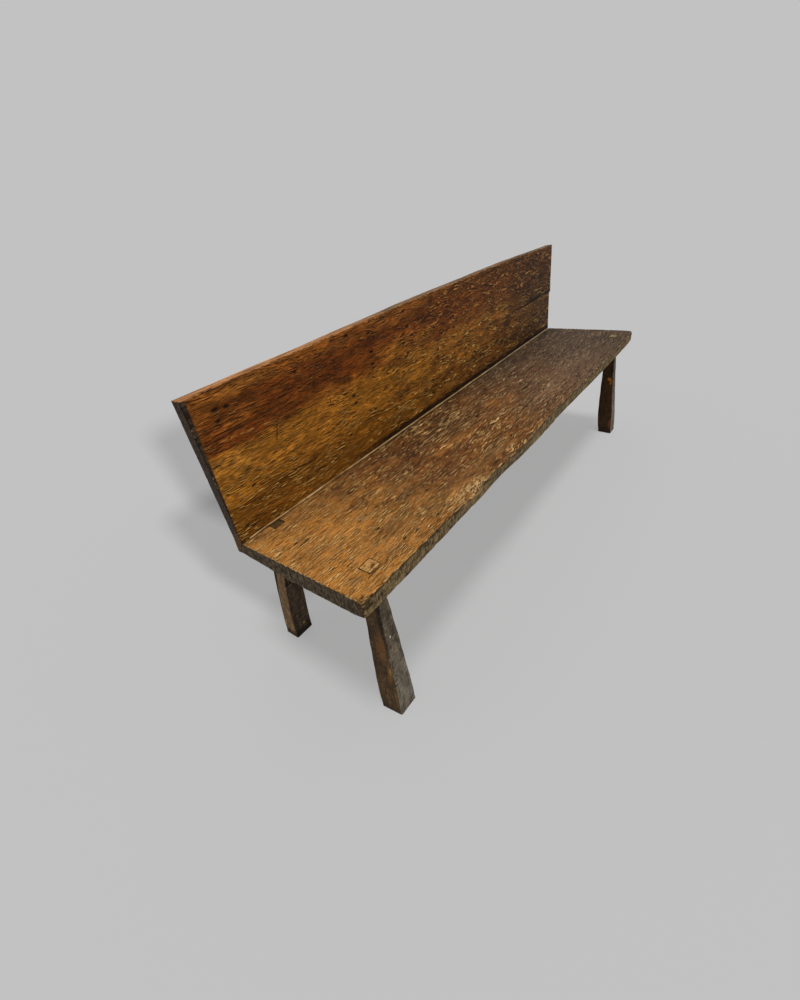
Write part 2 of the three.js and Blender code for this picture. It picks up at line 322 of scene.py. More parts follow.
def rounded(points, low, high, radius):
    """Rounds a block's arrises, and says how near each point is to one, from 0 to 1."""
    radius = radius[:, None]
    inner = np.clip(points, np.array(low) + radius, np.array(high) - radius)
    out = points - inner
    reach = np.linalg.norm(out, axis=1, keepdims=True)
    moved = np.where(reach > 0, inner + out / np.maximum(reach, 1e-9) * radius, points)
    to_side = np.minimum(points - np.array(low), np.array(high) - points)
    second = np.sort(to_side, axis=1)[:, 1]
    return moved, np.exp(-second / arris_reach)


def arris_radii(points, spread, seed, knocks):
    """A radius for the arris at each point. It strays a little and is larger where it was knocked."""
    depth, size, rare, knock_seed = knocks
    radius = arris_radius + arris_stray * patches(points, (spread, spread, spread), seed)
    return radius + depth * np.clip(patches(points, size, knock_seed) - rare, 0, None)


def skin(name, points, faces, **attributes):
    """A new mesh object with a value of each attribute for every point."""
    mesh = bpy.data.meshes.new(name)
    mesh.from_pydata([tuple(point) for point in points], [], faces)
    for key, values in attributes.items():
        kind, field = ("FLOAT", "value") if values.ndim == 1 else ("FLOAT_VECTOR", "vector")
        mesh.attributes.new(key, kind, "POINT").data.foreach_set(field, values.ravel())
    mesh.shade_smooth()
    piece = bpy.data.objects.new(name, mesh)
    bpy.context.scene.collection.objects.link(piece)
    return piece


class Making(Nodes):
    """A tree of Geometry Nodes with named inputs, the last of which is the finish."""

    def __init__(self, name, kinds):
        super().__init__(bpy.data.node_groups.new(name, "GeometryNodeTree"))
        for label, kind in {"Geometry": "Geometry", **kinds, "Finish": "Material"}.items():
            self.tree.interface.new_socket(label, in_out="INPUT", socket_type=f"NodeSocket{kind}")
        self.tree.interface.new_socket("Geometry", in_out="OUTPUT", socket_type="NodeSocketGeometry")
        inputs = self.tree.nodes.new("NodeGroupInput").outputs
        self.given = {socket.name: Tone(self, socket) for socket in inputs}

    def ended(self, made):
        """Realizes what the tree has made and gives it its finish."""
        realized = self.node("GeometryNodeRealizeInstances", {}, {0: made})
        values = {"Geometry": realized, "Material": self.given["Finish"]}
        finished = self.node("GeometryNodeSetMaterial", {}, values)
        self.node("NodeGroupOutput", {}, {"Geometry": finished})
        return self.tree


def tool_marks_tree():
    """Presses the hollows of a hewing tool, and its fibres, into the marked part of a skin."""
    sizes = {"Mark size": "Vector", "Mark depth": "Float", "Fibre size": "Vector", "Fibre depth": "Float"}
    g = Making("tool marks", {**sizes, "Seed": "Float"})
    given = g.given
    place = g.node("GeometryNodeInputPosition", {}, {})
    normal = g.node("GeometryNodeInputNormal", {}, {})
    settings, values = {"data_type": "FLOAT"}, {"Name": "marked"}
    marked = g.node("GeometryNodeInputNamedAttribute", settings, values, "Attribute")
    settings = {"voronoi_dimensions": "4D", "feature": "SMOOTH_F1"}
    values = {"Vector": place / given["Mark size"], "W": given["Seed"], "Scale": 1}
    hollow = g.node("ShaderNodeTexVoronoi", settings, values, "Distance")
    fibre = g.cloud(place, given["Fibre size"], given["Seed"])
    pressed = hollow * hollow * given["Mark depth"] + fibre * given["Fibre depth"]
    values = {0: normal, "Scale": pressed * -1 * marked}
    inward = g.node("ShaderNodeVectorMath", {"operation": "SCALE"}, values)
    values = {"Geometry": given["Geometry"], "Offset": inward}
    return g.ended(g.node("GeometryNodeSetPosition", {}, values))


def worked(piece, tree, **inputs):
    """Runs a tree of Geometry Nodes on a piece and keeps what it makes as the piece's own mesh."""
    modifier = piece.modifiers.new(tree.name, "NODES")
    modifier.node_group = tree
    for item in tree.interface.items_tree:
        key = item.name.replace(" ", "_").lower()
        if item.in_out == "INPUT" and key in inputs:
            modifier[item.identifier] = inputs[key]
    return settled(piece)


def settled(piece):
    """Keeps what a piece's modifiers make as its own mesh, and removes them."""
    view = bpy.context.evaluated_depsgraph_get()
    view.update()
    mesh = bpy.data.meshes.new_from_object(piece.evaluated_get(view), depsgraph=view)
    piece.modifiers.clear()
    piece.data = mesh
    mesh.name = piece.name
    mesh.shade_smooth()
    return piece


def cut(piece, *cutters):
    """Takes each cutter out of a piece, and then does away with the cutter."""
    for cutter in cutters:
        modifier = piece.modifiers.new("cut", "BOOLEAN")
        modifier.operation = "DIFFERENCE"
        modifier.solver = "EXACT"
        modifier.object = cutter
    settled(piece)
    for cutter in cutters:
        bpy.data.objects.remove(cutter)
    return piece


def stand_for(piece, slot, *nodes):
    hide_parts(*nodes)
    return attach(piece, "root")


def along_rows(rows, column, place):
    """A column of a table of shares, read smoothly between its rows."""
    step = np.clip(np.searchsorted(rows[:, 0], place) - 1, 0, len(rows) - 2)
    run = (place - rows[step, 0]) / (rows[step + 1, 0] - rows[step, 0])
    run = run * run * (3 - 2 * run)
    return rows[step, column] * (1 - run) + rows[step + 1, column] * run


# Hollows broken out of the seat: place along it and from the seam, half sizes, and depth
seat_hollows = (
    (0.452, -0.366, 0.050, 0.016, 0.0055),
    (0.412, -0.364, 0.022, 0.010, 0.0030),
    (0.498, -0.362, 0.010, 0.020, 0.0050),
    (0.440, -0.330, 0.030, 0.008, 0.0012),
    (1.770, -0.009, 0.015, 0.009, 0.0120),
    (0.326, -0.109, 0.006, 0.004, 0.0012),
    (0.829, -0.164, 0.009, 0.004, 0.0015),
    (0.201, -0.243, 0.009, 0.004, 0.0012),
)


def seat_thickness_at(across):
    """How thick the plank is at a place across it. It thins towards both its long edges."""
    return np.interp(
        across,
        [-seat_depth, -seat_depth + lower_hew_run, -rear_taper_run, rear_bevel_run],
        [seat_edge_thickness, seat_thickness, seat_thickness, seat_rear_thickness],
    )


def seat_surface():
    low, high = (-end_proud, -seat_depth, -seat_thickness), (seat_length + end_proud, 0, 0)
    points, faces = block(*[lines(*grid) for grid in zip(low, high, seat_steps)])
    to_corner = np.minimum(points[:, 0], seat_length - points[:, 0]) + points[:, 1] + seat_depth
    radius = arris_radii(points, 0.07, 3, seat_knocks)
    below, more_above, spread = corner_wear
    share_up = 1 + points[:, 2] / seat_thickness
    radius += (below + more_above * share_up) * np.exp(-np.clip(to_corner, 0, None) / spread)
    points, worn = rounded(points, low, high, radius)
    x, y, z = points.T
    share_forward = -y / seat_depth
    share_down = -z / seat_thickness
    upper = seat_depth + front_wave * along_rows(front_edge_shares, 1, x / seat_length)
    lower = seat_depth + front_wave * along_rows(front_edge_shares, 2, x / seat_length)
    front = -(upper * (1 - share_down) + lower * share_down)
    rear = rear_bevel_run * share_down - touching
    y = rear * (1 - share_forward) + front * share_forward
    z = -share_down * seat_thickness_at(y)
    from_end = np.minimum(x, seat_length - x)
    marked = np.where(share_down > 0.99, np.clip((from_end - legs_reach) / legs_reach, 0, 1), 1)
    for along, across, half_x, half_y, depth in seat_hollows:
        reach = ((x - along) / half_x) ** 2 + ((y - across) / half_y) ** 2
        ragged = 0.75 + 0.5 * patches(points, (0.011, 0.008, 0.02), 11)
        z -= depth * ragged * np.exp(-reach) * (1 - share_down)
    points = np.stack([x + seat_left, y + seam, z + seat_top], axis=1)
    return points, faces, {"worn": worn, "marked": marked}


seat_points, seat_faces, seat_wear = seat_surface()
seat = skin("seat_plank_hewn", seat_points, seat_faces, **seat_wear)

# The legs' tenons, which the mortises are cut for: their places and sizes, and the play left
tenon_from_end = {"front": 0.0905, "rear": 0.0965}
tenon_from_seam = {"front": 0.306, "rear": 0.015}
tenon_size = {"front": (0.034, 0.027), "rear": (0.028, 0.021)}
mortise_end_play = {"front": 0.0009, "rear": 0.0026}
mortise_side_play = 0.0006
cutter_clear = 0.02  # how far a cutter runs past its plank
mortise_step = 0.008


def box_skin(name, low, high, step):
    grids = [np.linspace(a, b, max(2, round((b - a) / step) + 1)) for a, b in zip(low, high)]
    points, faces = block(*grids)
    return skin(name, points, faces)


def leg_axis(row, side):
    """Where a leg's tenon stands on the plan. side is -1 at the left end and 1 at the right."""
    middle = seat_left + seat_length / 2
    x = middle + side * (seat_length / 2 - tenon_from_end[row])
    return Vector((x, seam - tenon_from_seam[row], 0))


def mortise(row, side):
    at = leg_axis(row, side)
    half_x = tenon_size[row][0] / 2 + mortise_end_play[row]
    half_y = tenon_size[row][1] / 2 + mortise_side_play
    low = (at.x - half_x, at.y - half_y, seat_top - seat_thickness - cutter_clear)
    high = (at.x + half_x, at.y + half_y, seat_top + cutter_clear)
    return box_skin("mortise", low, high, mortise_step)


legs = [(row, side) for row in ("front", "rear") for side in (-1, 1)]
cut(seat, *[mortise(row, side) for row, side in legs])


class Surface(Finish):
    """A finish that changes over its piece, as old wood's and forged iron's do."""

    def size(self, vector):
        return self.sum("LENGTH", vector, kind="ShaderNodeVectorMath", output="Value")

    def lie(self, origin, turn=(0, 0, 0)):
        """Where the surface is, from an origin on the piece, along, across and through its wood."""
        place = self.node("ShaderNodeTexCoord", {}, {}, "Object")
        spread = {"Vector": place, "Location": tuple(origin), "Rotation": tuple(turn)}
        return self.node("ShaderNodeMapping", {"vector_type": "TEXTURE"}, spread)

    def coarser(self, near, place, spread, seed, detail=1.0):
        """A cloud that is fine where near is 1. Where it is 0 it is coarser, and far longer."""
        fine = self.cloud(place, spread, seed, detail)
        coarse = self.cloud(place, (1.6 * spread[0], 1.3 * spread[1], 1.3 * spread[2]), seed, detail)
        return coarse + near * (fine - coarse)

    def even(self, cloud):
        """A cloud stretched out, so that its light and dark parts are more equal in size."""
        return self.fade(cloud, 0.27, 0.73)

    def off(self, value):
        """How far a value is from 0, whichever way."""
        return self.sum("ABSOLUTE", value)

    def bands(self, value):
        """Even bands from 0 to 1 across a value, one for every full turn of it."""
        return 0.5 + 0.5 * self.sum("SINE", value)

    def curls(self, place, spread, seed, width):
        """Thin curved lines that run every way."""
        return self.fade(self.off(self.cloud(place, spread, seed, 1) - 0.5), width, width * 0.4)

    def fade(self, value, low, high):
        """0 at low and 1 at high, with a smooth run between them."""
        settings = {"interpolation_type": "SMOOTHSTEP"}
        return self.node("ShaderNodeMapRange", settings, {0: value, 1: low, 2: high})

    def swing(self, tone, share, cloud, low, high):
        """A tone made darker where a cloud is low, and lighter by the same share where it is high."""
        return tone * (1 + share * (2 * self.fade(cloud, low, high) - 1))

    def blend(self, share, first, second):
        """From the first colour at 0 to the second at 1. A plain colour is as it looks on a screen."""
        first, second = (c if isinstance(c, Tone) else srgb(*c) for c in (first, second))
        return self.node("ShaderNodeMix", {"data_type": "RGBA"}, {0: share, 6: first, 7: second}, 2)

    def mark(self, place, centre, half, turn=0, soft=0.6):
        """1 inside an oval mark on the wood and 0 outside it."""
        at = {"Vector": place, "Location": centre, "Rotation": (0, 0, turn), "Scale": half}
        reach = self.size(self.node("ShaderNodeMapping", {"vector_type": "TEXTURE"}, at))
        return self.fade(reach, 1 + soft, 1 - soft)

    def marks(self, first, place, half, centres):
        """A mark, and some more of one size, each with its place along the board and across it."""
        for centre in centres:
            first = self.most(first, self.mark(place, (*centre, 0), half))
        return first

    def stained(self, tone, place, blotch, deep, stains):
        """Lays stains on a board, broken up by a blotch. Each has its place along the board and
        across it, its half sizes, its strength and its colour."""
        for along, across, half_along, half_across, strength, *colour in stains:
            stain = self.mark(place, (along, across, 0), (half_along, half_across, deep), 0, 0.9)
            tone = self.blend(stain * blotch * (1.5 * strength), tone, colour)
        return tone

    def facing(self, direction, low, high):
        """1 where the surface faces a direction of the bench, 0 where it turns away from it."""
        normal = self.node("ShaderNodeNewGeometry", {}, {}, "Normal")
        kind = "ShaderNodeVectorMath"
        turned = self.sum("DOT_PRODUCT", normal, direction, kind=kind, output="Value")
        return self.fade(turned, low, high)

    def attribute(self, name, output="Fac"):
        return self.node("ShaderNodeAttribute", {"attribute_name": name}, {}, output)

    def wear(self, colour, rough, relief, depth):
        """The finish's colour, its roughness, and a relief of 0 to 1 that stands depth metres high."""
        bump = self.node("ShaderNodeBump", {}, {"Height": relief, "Distance": depth, "Strength": 1})
        for name, tone in (("Base Color", colour), ("Roughness", rough), ("Normal", bump)):
            self.tree.links.new(tone.socket, self.shader.inputs[name])


def waves(f, place, along, seed, bend, sway, wriggle):
    """How a board's grain strays: where its waves are near and fine, its long waves, and its short
    ones, which are lower where they are near."""
    ragged_near = (f.cloud(place, (0.10, 0.05, 0.05), seed + 0.2) - 0.5) * 0.8
    near = f.fade(along + ragged_near, 0.62, 0.38)
    long_waves = (f.cloud(place, (bend, 0.10, 0.10), seed) - 0.5) * sway
    short_waves = f.cloud(place, (0.045, 0.014, 0.014), seed + 0.5, 1) - 0.5
    return near, long_waves, short_waves * (wriggle[0] - wriggle[1] * near)


def fibres(f, tone, near, grain, seed, depth, pale, dark, length=0):
    """Draws old oak's fibres on a tone: soft streaks, pale torn slivers, each with a painted shadow
    beside it, and dark cracks. pale and dark are colours with their shares. Adds the relief that they have."""
    streak = f.coarser(near, grain, (0.028 + length, 0.0017, 0.0017), seed, 2)
    fine = f.coarser(near, grain, (0.0090 + 0.4 * length, 0.0013, 0.0013), seed + 0.2)
    tone = tone * (1 - depth + depth * (0.8 * f.even(streak) + 1.2 * f.even(fine)))
    sliver = (0.019, 0.0019, 0.0019)
    shadow = f.coarser(near, grain + (0.0010, 0.0021, 0), sliver, seed + 0.4)
    tone = f.blend(f.fade(shadow, 0.585, 0.615) * dark[1], tone, dark[0])
    torn = f.fade(f.coarser(near, grain, sliver, seed + 0.4), 0.59, 0.615)
    tone = f.blend(torn * pale[1], tone, pale[0])
    crack = f.fade(f.coarser(near, grain, (0.045, 0.0018, 0.0018), seed + 0.6), 0.64, 0.67)
    tone = f.blend(crack * 0.8, tone, dark[0])
    return tone, 0.5 * streak + 0.4 * fine + 0.35 * torn - 0.5 * crack


seat_finish = Surface("seat wood")
f = seat_finish
p = f.lie((seat_left, seam, seat_top))
x, y, z = p.parts()
near, sway, wriggle = waves(f, p, x, 1, 0.55, 0.020, (0.020, 0.014))
grain = p + f.node("ShaderNodeCombineXYZ", {}, {1: sway + wriggle, 2: sway})
up = f.facing((0, 0, 1), 0.35, 0.8)
# Along the seat its tone drifts from gold to brown, and towards the far right end to a grey-brown that is
# partly the wood's own greying and partly a painted sheen.
drift = x + (f.cloud(p, (0.30, 0.09, 0.09), 2, 3) - 0.5) * 0.7
tone = f.blend(f.fade(drift, 0.02, 0.48), (172, 115, 51), (110, 68, 31))
tone = f.blend(f.fade(drift, 0.72, 1.50), tone, (80, 61, 46))
patch = f.cloud(grain, (0.130, 0.035, 0.035), 3, 4, 0.65)
amber = f.fade(patch, 0.53, 0.66) * f.fade(x, 1.55, 0.9)
tone = f.blend(amber * 0.35, tone, (156, 100, 44))
plum = f.fade(patch, 0.47, 0.36)
tone = f.blend(plum * 0.4, tone, (84, 58, 44))
mottle = f.cloud(grain, (0.055, 0.014, 0.014), 4, 4, 0.65)
blotch = f.fade(f.cloud(p, (0.10, 0.05, 0.05), 4.5, 3, 0.6), 0.3, 0.7)
tone = f.stained(tone, p, blotch, 0.03, (
    (0.488, -0.137, 0.080, 0.038, 0.75, 74, 46, 30),
    (0.470, -0.245, 0.080, 0.036, 0.60, 74, 46, 30),
    (0.700, -0.100, 0.180, 0.060, 0.75, 62, 40, 24),
    (0.660, -0.120, 0.090, 0.040, 0.40, 74, 50, 34),
    (0.640, -0.320, 0.080, 0.030, 0.65, 78, 54, 34),
    (1.280, -0.290, 0.260, 0.070, 0.60, 128, 98, 72),
    (0.320, -0.050, 0.160, 0.026, 0.25, 84, 54, 34),
    (0.500, -0.325, 0.160, 0.032, 0.35, 172, 124, 70),
    (0.200, -0.270, 0.060, 0.040, 0.25, 184, 128, 62),
    (0.348, -0.180, 0.060, 0.034, 0.30, 160, 112, 54),
    (0.080, -0.120, 0.034, 0.012, 0.30, 84, 54, 38),
    (0.230, -0.040, 0.110, 0.040, 0.35, 96, 60, 28),
    (0.300, -0.290, 0.080, 0.050, 0.25, 158, 116, 64),
    (0.977, -0.172, 0.070, 0.040, 0.28, 150, 98, 48),
    (0.075, -0.240, 0.120, 0.060, 0.40, 186, 122, 54),
    (0.600, -0.170, 0.080, 0.026, 0.35, 156, 98, 42),
    (1.800, -0.005, 0.070, 0.006, 0.50, 160, 138, 114),
))
seam_shade = f.fade(y, -0.12, -0.01) * f.fade(x, 0.1, 0.9)
varied = f.fade(x, 0.05, 0.35) * (1 - 0.3 * f.fade(x, 0.6, 0.9))
tone = f.swing(tone, 0.12 + 0.25 * varied, patch, 0.25, 0.75)
tone = f.swing(tone, 0.16 + 0.24 * varied, mottle, 0.20, 0.80)
# Painted shade darkens the top towards the back, in the corner where the seat meets it.
tone = tone * (1 - 0.40 * seam_shade)
lively = 0.35 + 0.65 * f.fade(f.cloud(p, (0.11, 0.05, 0.05), 7, 2), 0.36, 0.58)
rougher = (0.80 + 0.10 * f.fade(drift, 0.35, 0.80)) * (1 - 0.40 * f.fade(x, 1.05, 1.5))
rougher = rougher * (1 - 0.35 * f.fade(y, -0.26, -0.32) * f.fade(x, 0.6, 0.75))
fleck_tone = f.blend(f.fade(x, 0.5, 1.4), (238, 194, 122), (184, 154, 114))
dark_tone = (40, 24, 14)
deep = (0.50 + 0.50 * lively) * (0.85 + 0.25 * f.fade(x, 0.25, 0.45) - 0.15 * f.fade(x, 1.2, 1.6))
tone, lift = fibres(f, tone, near, grain, 5, deep, (fleck_tone, lively * rougher), (dark_tone, lively * 0.8))
scratch = f.fade(f.coarser(near, grain + (0, 0.3, 0), (0.040, 0.0012, 0.0012), 8), 0.64, 0.67)
tone = f.blend(scratch * 0.60, tone, fleck_tone)
pit = f.fade(f.coarser(near, grain, (0.006, 0.0026, 0.0026), 10), 0.68, 0.74)
tone = f.blend(pit * 0.8, tone, (34, 20, 12))

# A dark ring has stained it, and a few holes and dents are older than the polish.
ring_at = ((0.262, -0.138, 0), (0.022, 0.024, 0.03))
ringed = f.mark(p, *ring_at, 0, 0.12)
tone = f.blend(ringed * 0.25, tone, (84, 54, 28))
inside = f.mark(p, ring_at[0], [0.9 * half for half in ring_at[1]], 0, 0.06)
tone = f.blend(f.most(ringed - inside, 0) * 0.45, tone, dark_tone)
holes = f.mark(p, (0.326, -0.109, 0), (0.004, 0.002, 0.02))
holes = f.marks(holes, p, (0.0060, 0.0024, 0.02), (
    (0.673, -0.112), (0.829, -0.164), (0.201, -0.243), (0.201, -0.317),
    (0.239, -0.324), (0.311, -0.334), (0.386, -0.256), (0.065, -0.113),
    (1.048, -0.080),
))
holes = f.most(holes, f.mark(p, (1.770, -0.010, 0), (0.016, 0.009, 0.03)))
# Dirt has gathered in the joints round the tenons.
for row in ("front", "rear"):
    from_middle = f.off(x - seat_length / 2) - (seat_length / 2 - tenon_from_end[row])
    to_end = f.off(from_middle) - tenon_size[row][0] / 2
    to_side = f.off(y + tenon_from_seam[row]) - tenon_size[row][1] / 2
    gap = f.fade(f.most(to_end, to_side) + (mottle - 0.5) * 0.006, 0.0034, 0.0018)
    outer_rear = f.fade(from_middle + y + tenon_from_seam[row], -0.012, 0.006)
    filled = (0.25 + 0.75 * outer_rear) * f.fade(f.cloud(p, (0.010, 0.008, 0.012), 11, 2), 0.36, 0.48)
    holes = f.most(holes, gap * filled)
tone = f.blend(holes * 0.9, tone, (26, 16, 10))
# Along the lath a line of painted shade darkens the seat, in the crease between them.
lath_crease_shade = f.fade(y + (mottle - 0.5) * 0.008, -0.0110, -0.0060)
tone = f.blend(lath_crease_shade * (0.35 + 0.40 * f.fade(x, 0.35, 0.6)), tone, (34, 22, 13))

# Its edges and ends are drier and greyer than the top, with light tool marks across them.
side_mottle = f.cloud(p, (0.026, 0.011, 0.014), 12, 4, 0.65)
side_tone = f.blend(f.fade(side_mottle, 0.30, 0.70), (58, 44, 28), (152, 126, 84))
strokes = f.fade(f.coarser(near, p, (0.0036, 0.03, 0.020), 13), 0.54, 0.61)
side_tone = f.blend(strokes * 0.55, side_tone, (196, 170, 122))
notches = f.fade(f.coarser(near, p, (0.0040, 0.03, 0.013), 13.5), 0.58, 0.65)
side_tone = f.blend(notches * 0.65, side_tone, (32, 24, 16))
ends = f.fade(f.off(x - seat_length / 2), seat_length / 2 - 0.004, seat_length / 2)
year = 0.0052  # from one year's ring to the next
rings = f.size((grain + (0, 0.10, 0.16)) * (0, 1, 1)) / year + f.cloud(p, (0.1, 0.03, 0.03), 14) * 4
ring = f.bands(rings * (2 * math.pi))
end_tone = f.blend(f.fade(side_mottle, 0.30, 0.70), (58, 48, 36), (128, 110, 84))
end_tone = f.blend(ring * 0.6, end_tone, (44, 36, 28))
hack = f.cloud(p, (0.03, 0.0030, 0.016), 14.5, 2)
end_tone = end_tone * (0.35 + 1.3 * f.even(hack))
side_tone = f.blend(ends, side_tone, end_tone)
under_arris = f.fade(z, -0.009, -0.003) * (1 - up) * (1 - ends)
side_tone = f.blend(under_arris * 0.65, side_tone, (42, 33, 23))
rift = f.fade(f.cloud(p, (0.06, 0.006, 0.008), 15, 3), 0.58, 0.64)
side_tone = f.blend(rift * 0.75, side_tone, (32, 24, 16))
# Underneath it is bare and dull, and only its long grain shows.
below = f.facing((0, 0, -1), 0.4, 0.8)
under_tone = f.blend(f.fade(mottle, 0.25, 0.75), (60, 45, 30), (108, 84, 56))
under_tone = under_tone * (0.6 + 0.8 * f.even(f.cloud(grain, (0.080, 0.0036, 0.0036), 19, 2)))
side_tone = f.blend(below, side_tone, under_tone)
tone = f.blend(up, side_tone, tone)
worn = f.fade(f.attribute("worn"), 0.50, 0.90)
ragged = f.cloud(p, (0.015, 0.008, 0.008), 16, 3, 0.6)
tone = f.blend(worn * f.fade(ragged, 0.46, 0.41) * 0.80, tone, (38, 27, 18))
tone = f.blend(worn * f.fade(ragged, 0.52, 0.57) * 0.80, tone, (208, 172, 120))
chipped = f.mark(p, (0.442, -0.356, -0.003), (0.070, 0.028, 0.022), 0, 0.4)
chip_grain = f.cloud(p, (0.0075, 0.0038, 0.0038), 17, 3, 0.75)
chip_tone = f.blend(f.fade(chip_grain, 0.44, 0.56), (78, 50, 26), (216, 174, 116))
left_whole = f.fade(f.cloud(p, (0.03, 0.014, 0.014), 18, 2), 0.40, 0.48)
tone = f.blend(chipped * left_whole * 0.85, tone, chip_tone)
knocked = f.mark(p, (0.004, -0.358, -0.002), (0.020, 0.018, 0.030), 0, 0.4)
tone = f.blend(knocked * f.fade(chip_grain, 0.60, 0.45) * 0.85, tone, (62, 44, 25))
gouge = f.mark(p, (0.500, -0.366, -0.014), (0.024, 0.02, 0.005), 0, 0.5)
tone = f.blend(gouge * 0.8, tone, (36, 30, 26))
knot = f.size((p - (0.0925, -0.366, -0.023)) * (1, 0, 1))
knot_turns = 2200  # a full turn, and so a ring, every 3 mm out from its middle
knot_tone = f.blend(f.bands(knot * knot_turns), (40, 30, 20), (172, 144, 98))
tone = f.blend(f.fade(knot, 0.0095, 0.0075) * (1 - up), tone, knot_tone)

relief = lift + 0.3 * mottle - 0.5 * pit - 1.2 * holes
rough = 0.52 + 0.26 * mottle + 0.14 * (1 - up)
f.wear(tone, rough, relief, 0.0030)

tool_marks = tool_marks_tree()
worked(
    seat,
    tool_marks,
    mark_size=(0.210, 0.085, 0.060),
    mark_depth=0.0011,
    fibre_size=(0.080, 0.015, 0.015),
    fibre_depth=0.0009,
    seed=1.0,
    finish=seat_finish.material,
)
stand_for(seat, "seat_wood", "seat_plank")
boards.objects.link(seat)


# Legs
# Four legs hewn square from riven oak, with their arrises taken off. Each is cut back at its head
# to a tenon that goes right up through the seat, and they stand out towards their feet.
leg_width = {"front": 0.060, "rear": 0.061}
leg_thickness = {"front": 0.060, "rear": 0.047}
leg_shoulder = {"front": 0.385, "rear": 0.396}
leg_bend = {"front": 0.8, "rear": 1.35}
# How far a leg's foot and its head stand from its tenon, outwards and backwards
foot_lean = {"front": (0.011, -0.036), "rear": (-0.014, 0.068)}
head_lean = {"front": (0, 0), "rear": (-0.006, 0.009)}
leg_skew = {"front": 0.006, "rear": 0}
leg_chamfer = 0.009
leg_steps = (0.0036, 0.0042)  # its skin's grid, across and upwards
foot_inset = 0.0008
foot_unmarked = 0.012  # no tool marks below this, so that the foot stands flat
head_unmarked = 0.03  # and fewer this far below the shoulder
leg_proud = 0.0010  # how far its hewn skin stands out past its measured size
tenon_top = {"front": 0.430, "rear": 0.4285}
tenon_chamfer = 0.0012
wedge_depth = 0.036
wedge_thickness = (0.0016, 0.0046)  # at its tip and at its top
# Place up the leg, its width and thickness there, and how much of the chamfer is taken
leg_shares = {
    "front": np.array([
        [0, 0.98, 0.87, 0.3], [0.1, 0.95, 0.95, 0.3], [0.22, 0.88, 0.98, 0.35],
        [0.36, 0.84, 0.91, 0.4], [0.52, 0.84, 0.81, 0.5], [0.74, 0.78, 0.7, 0.75],
        [0.9, 0.7, 0.64, 0.95], [1, 0.66, 0.62, 1],
    ]),
    "rear": np.array([
        [0, 0.98, 0.95, 0.25], [0.12, 1, 0.91, 0.3], [0.25, 1, 0.87, 0.3],
        [0.45, 0.96, 0.88, 0.4], [0.65, 0.88, 0.96, 0.6], [0.82, 0.82, 1, 0.85],
        [1, 0.75, 0.95, 1],
    ]),
}
above_shoulder = 1.0  # a tenon's grid lines are kept apart from the body's by this much


def chamfered(a, b, half_a, half_b, size, kept=0):
    """Moves a section's points in from its arrises, and says which are on the flats. The two
    arrises at the back stay almost sharp where kept is 1."""
    size = size * (1 - 0.85 * kept * (b > 0))
    reach = np.maximum(np.maximum(np.abs(a) / half_a, np.abs(b) / half_b), 1e-9)
    rim_a, rim_b = a / reach, b / reach
    excess = size - (half_a - np.abs(rim_a)) - (half_b - np.abs(rim_b))
    excess = np.maximum(excess, 0)
    rim_a = rim_a - np.sign(rim_a) * excess / 2
    rim_b = rim_b - np.sign(rim_b) * excess / 2
    return rim_a * reach, rim_b * reach, np.clip(excess / np.maximum(0.3 * size, 1e-6), 0, 1)


def wedge_at(height):
    return np.interp(height, [seat_top - wedge_depth, seat_top], wedge_thickness)


def leg_surface(row, side):
    body_top = leg_shoulder[row] - touching
    half = np.array([leg_width[row], leg_thickness[row]]) / 2 + leg_proud
    up_tenon = np.linspace(body_top, tenon_top[row], 12) + above_shoulder
    points, faces = block(
        lines(-half[0], half[0], leg_steps[0]),
        lines(-half[1], half[1], leg_steps[0]),
        np.concatenate([lines(0, body_top, leg_steps[1]), up_tenon]),
    )
    a, b, z = points.T
    in_tenon = z > above_shoulder / 2
    z = np.where(in_tenon, z - above_shoulder, z)
    share = np.clip(z / body_top, 0, 1)
    wide, thick, flats = (along_rows(leg_shares[row], column, share) for column in (1, 2, 3))
    body_a, body_b, on_flats = chamfered(
        a * wide, b * thick, half[0] * wide, half[1] * thick, leg_chamfer * flats, 1
    )
    inset = 1 - np.clip(foot_inset - z, 0, None) / half.min()
    bent = share ** leg_bend[row]
    out, back = (foot + (head - foot) * bent for foot, head in zip(foot_lean[row], head_lean[row]))
    body_x = body_a * inset + side * out + side * leg_skew[row] * (1 - share) * body_b / leg_thickness[row]
    body_y = body_b * inset + back

    half_tenon = np.array(tenon_size[row]) / 2
    tenon_a, tenon_b, _ = chamfered(
        a / half[0] * half_tenon[0],
        b / half[1] * half_tenon[1],
        half_tenon[0],
        half_tenon[1],
        tenon_chamfer,
    )
    if row == "front":
        room = wedge_at(z) + touching
        tenon_b = half_tenon[1] - (half_tenon[1] - tenon_b) * (1 - room / tenon_size[row][1])

    axis = leg_axis(row, side)
    x = axis.x + np.where(in_tenon, tenon_a, body_x)
    y = axis.y + np.where(in_tenon, tenon_b, body_y)
    underside = seat_top - seat_thickness_at(y - seam) - touching
    top = tenon_top[row]
    run = (z - body_top) / (top - body_top)
    low = np.minimum(body_top, underside)
    z = np.where(in_tenon, low + run * (top - low), np.minimum(z, underside))
    from_foot = np.clip(z / foot_unmarked, 0, 1)
    from_head = np.clip((leg_shoulder[row] - z) / head_unmarked, 0, 1)
    marked = np.where(in_tenon, 0, np.minimum(from_foot, 0.25 + 0.75 * from_head))
    number = legs.index((row, side))
    wood = np.stack([body_a + number * 0.7, body_b + number * 0.4, z], axis=1)
    wear = {"worn": on_flats * ~in_tenon, "marked": marked, "wood": wood, "rearward": body_b / half[1]}
    return np.stack([x, y, z], axis=1), faces, wear


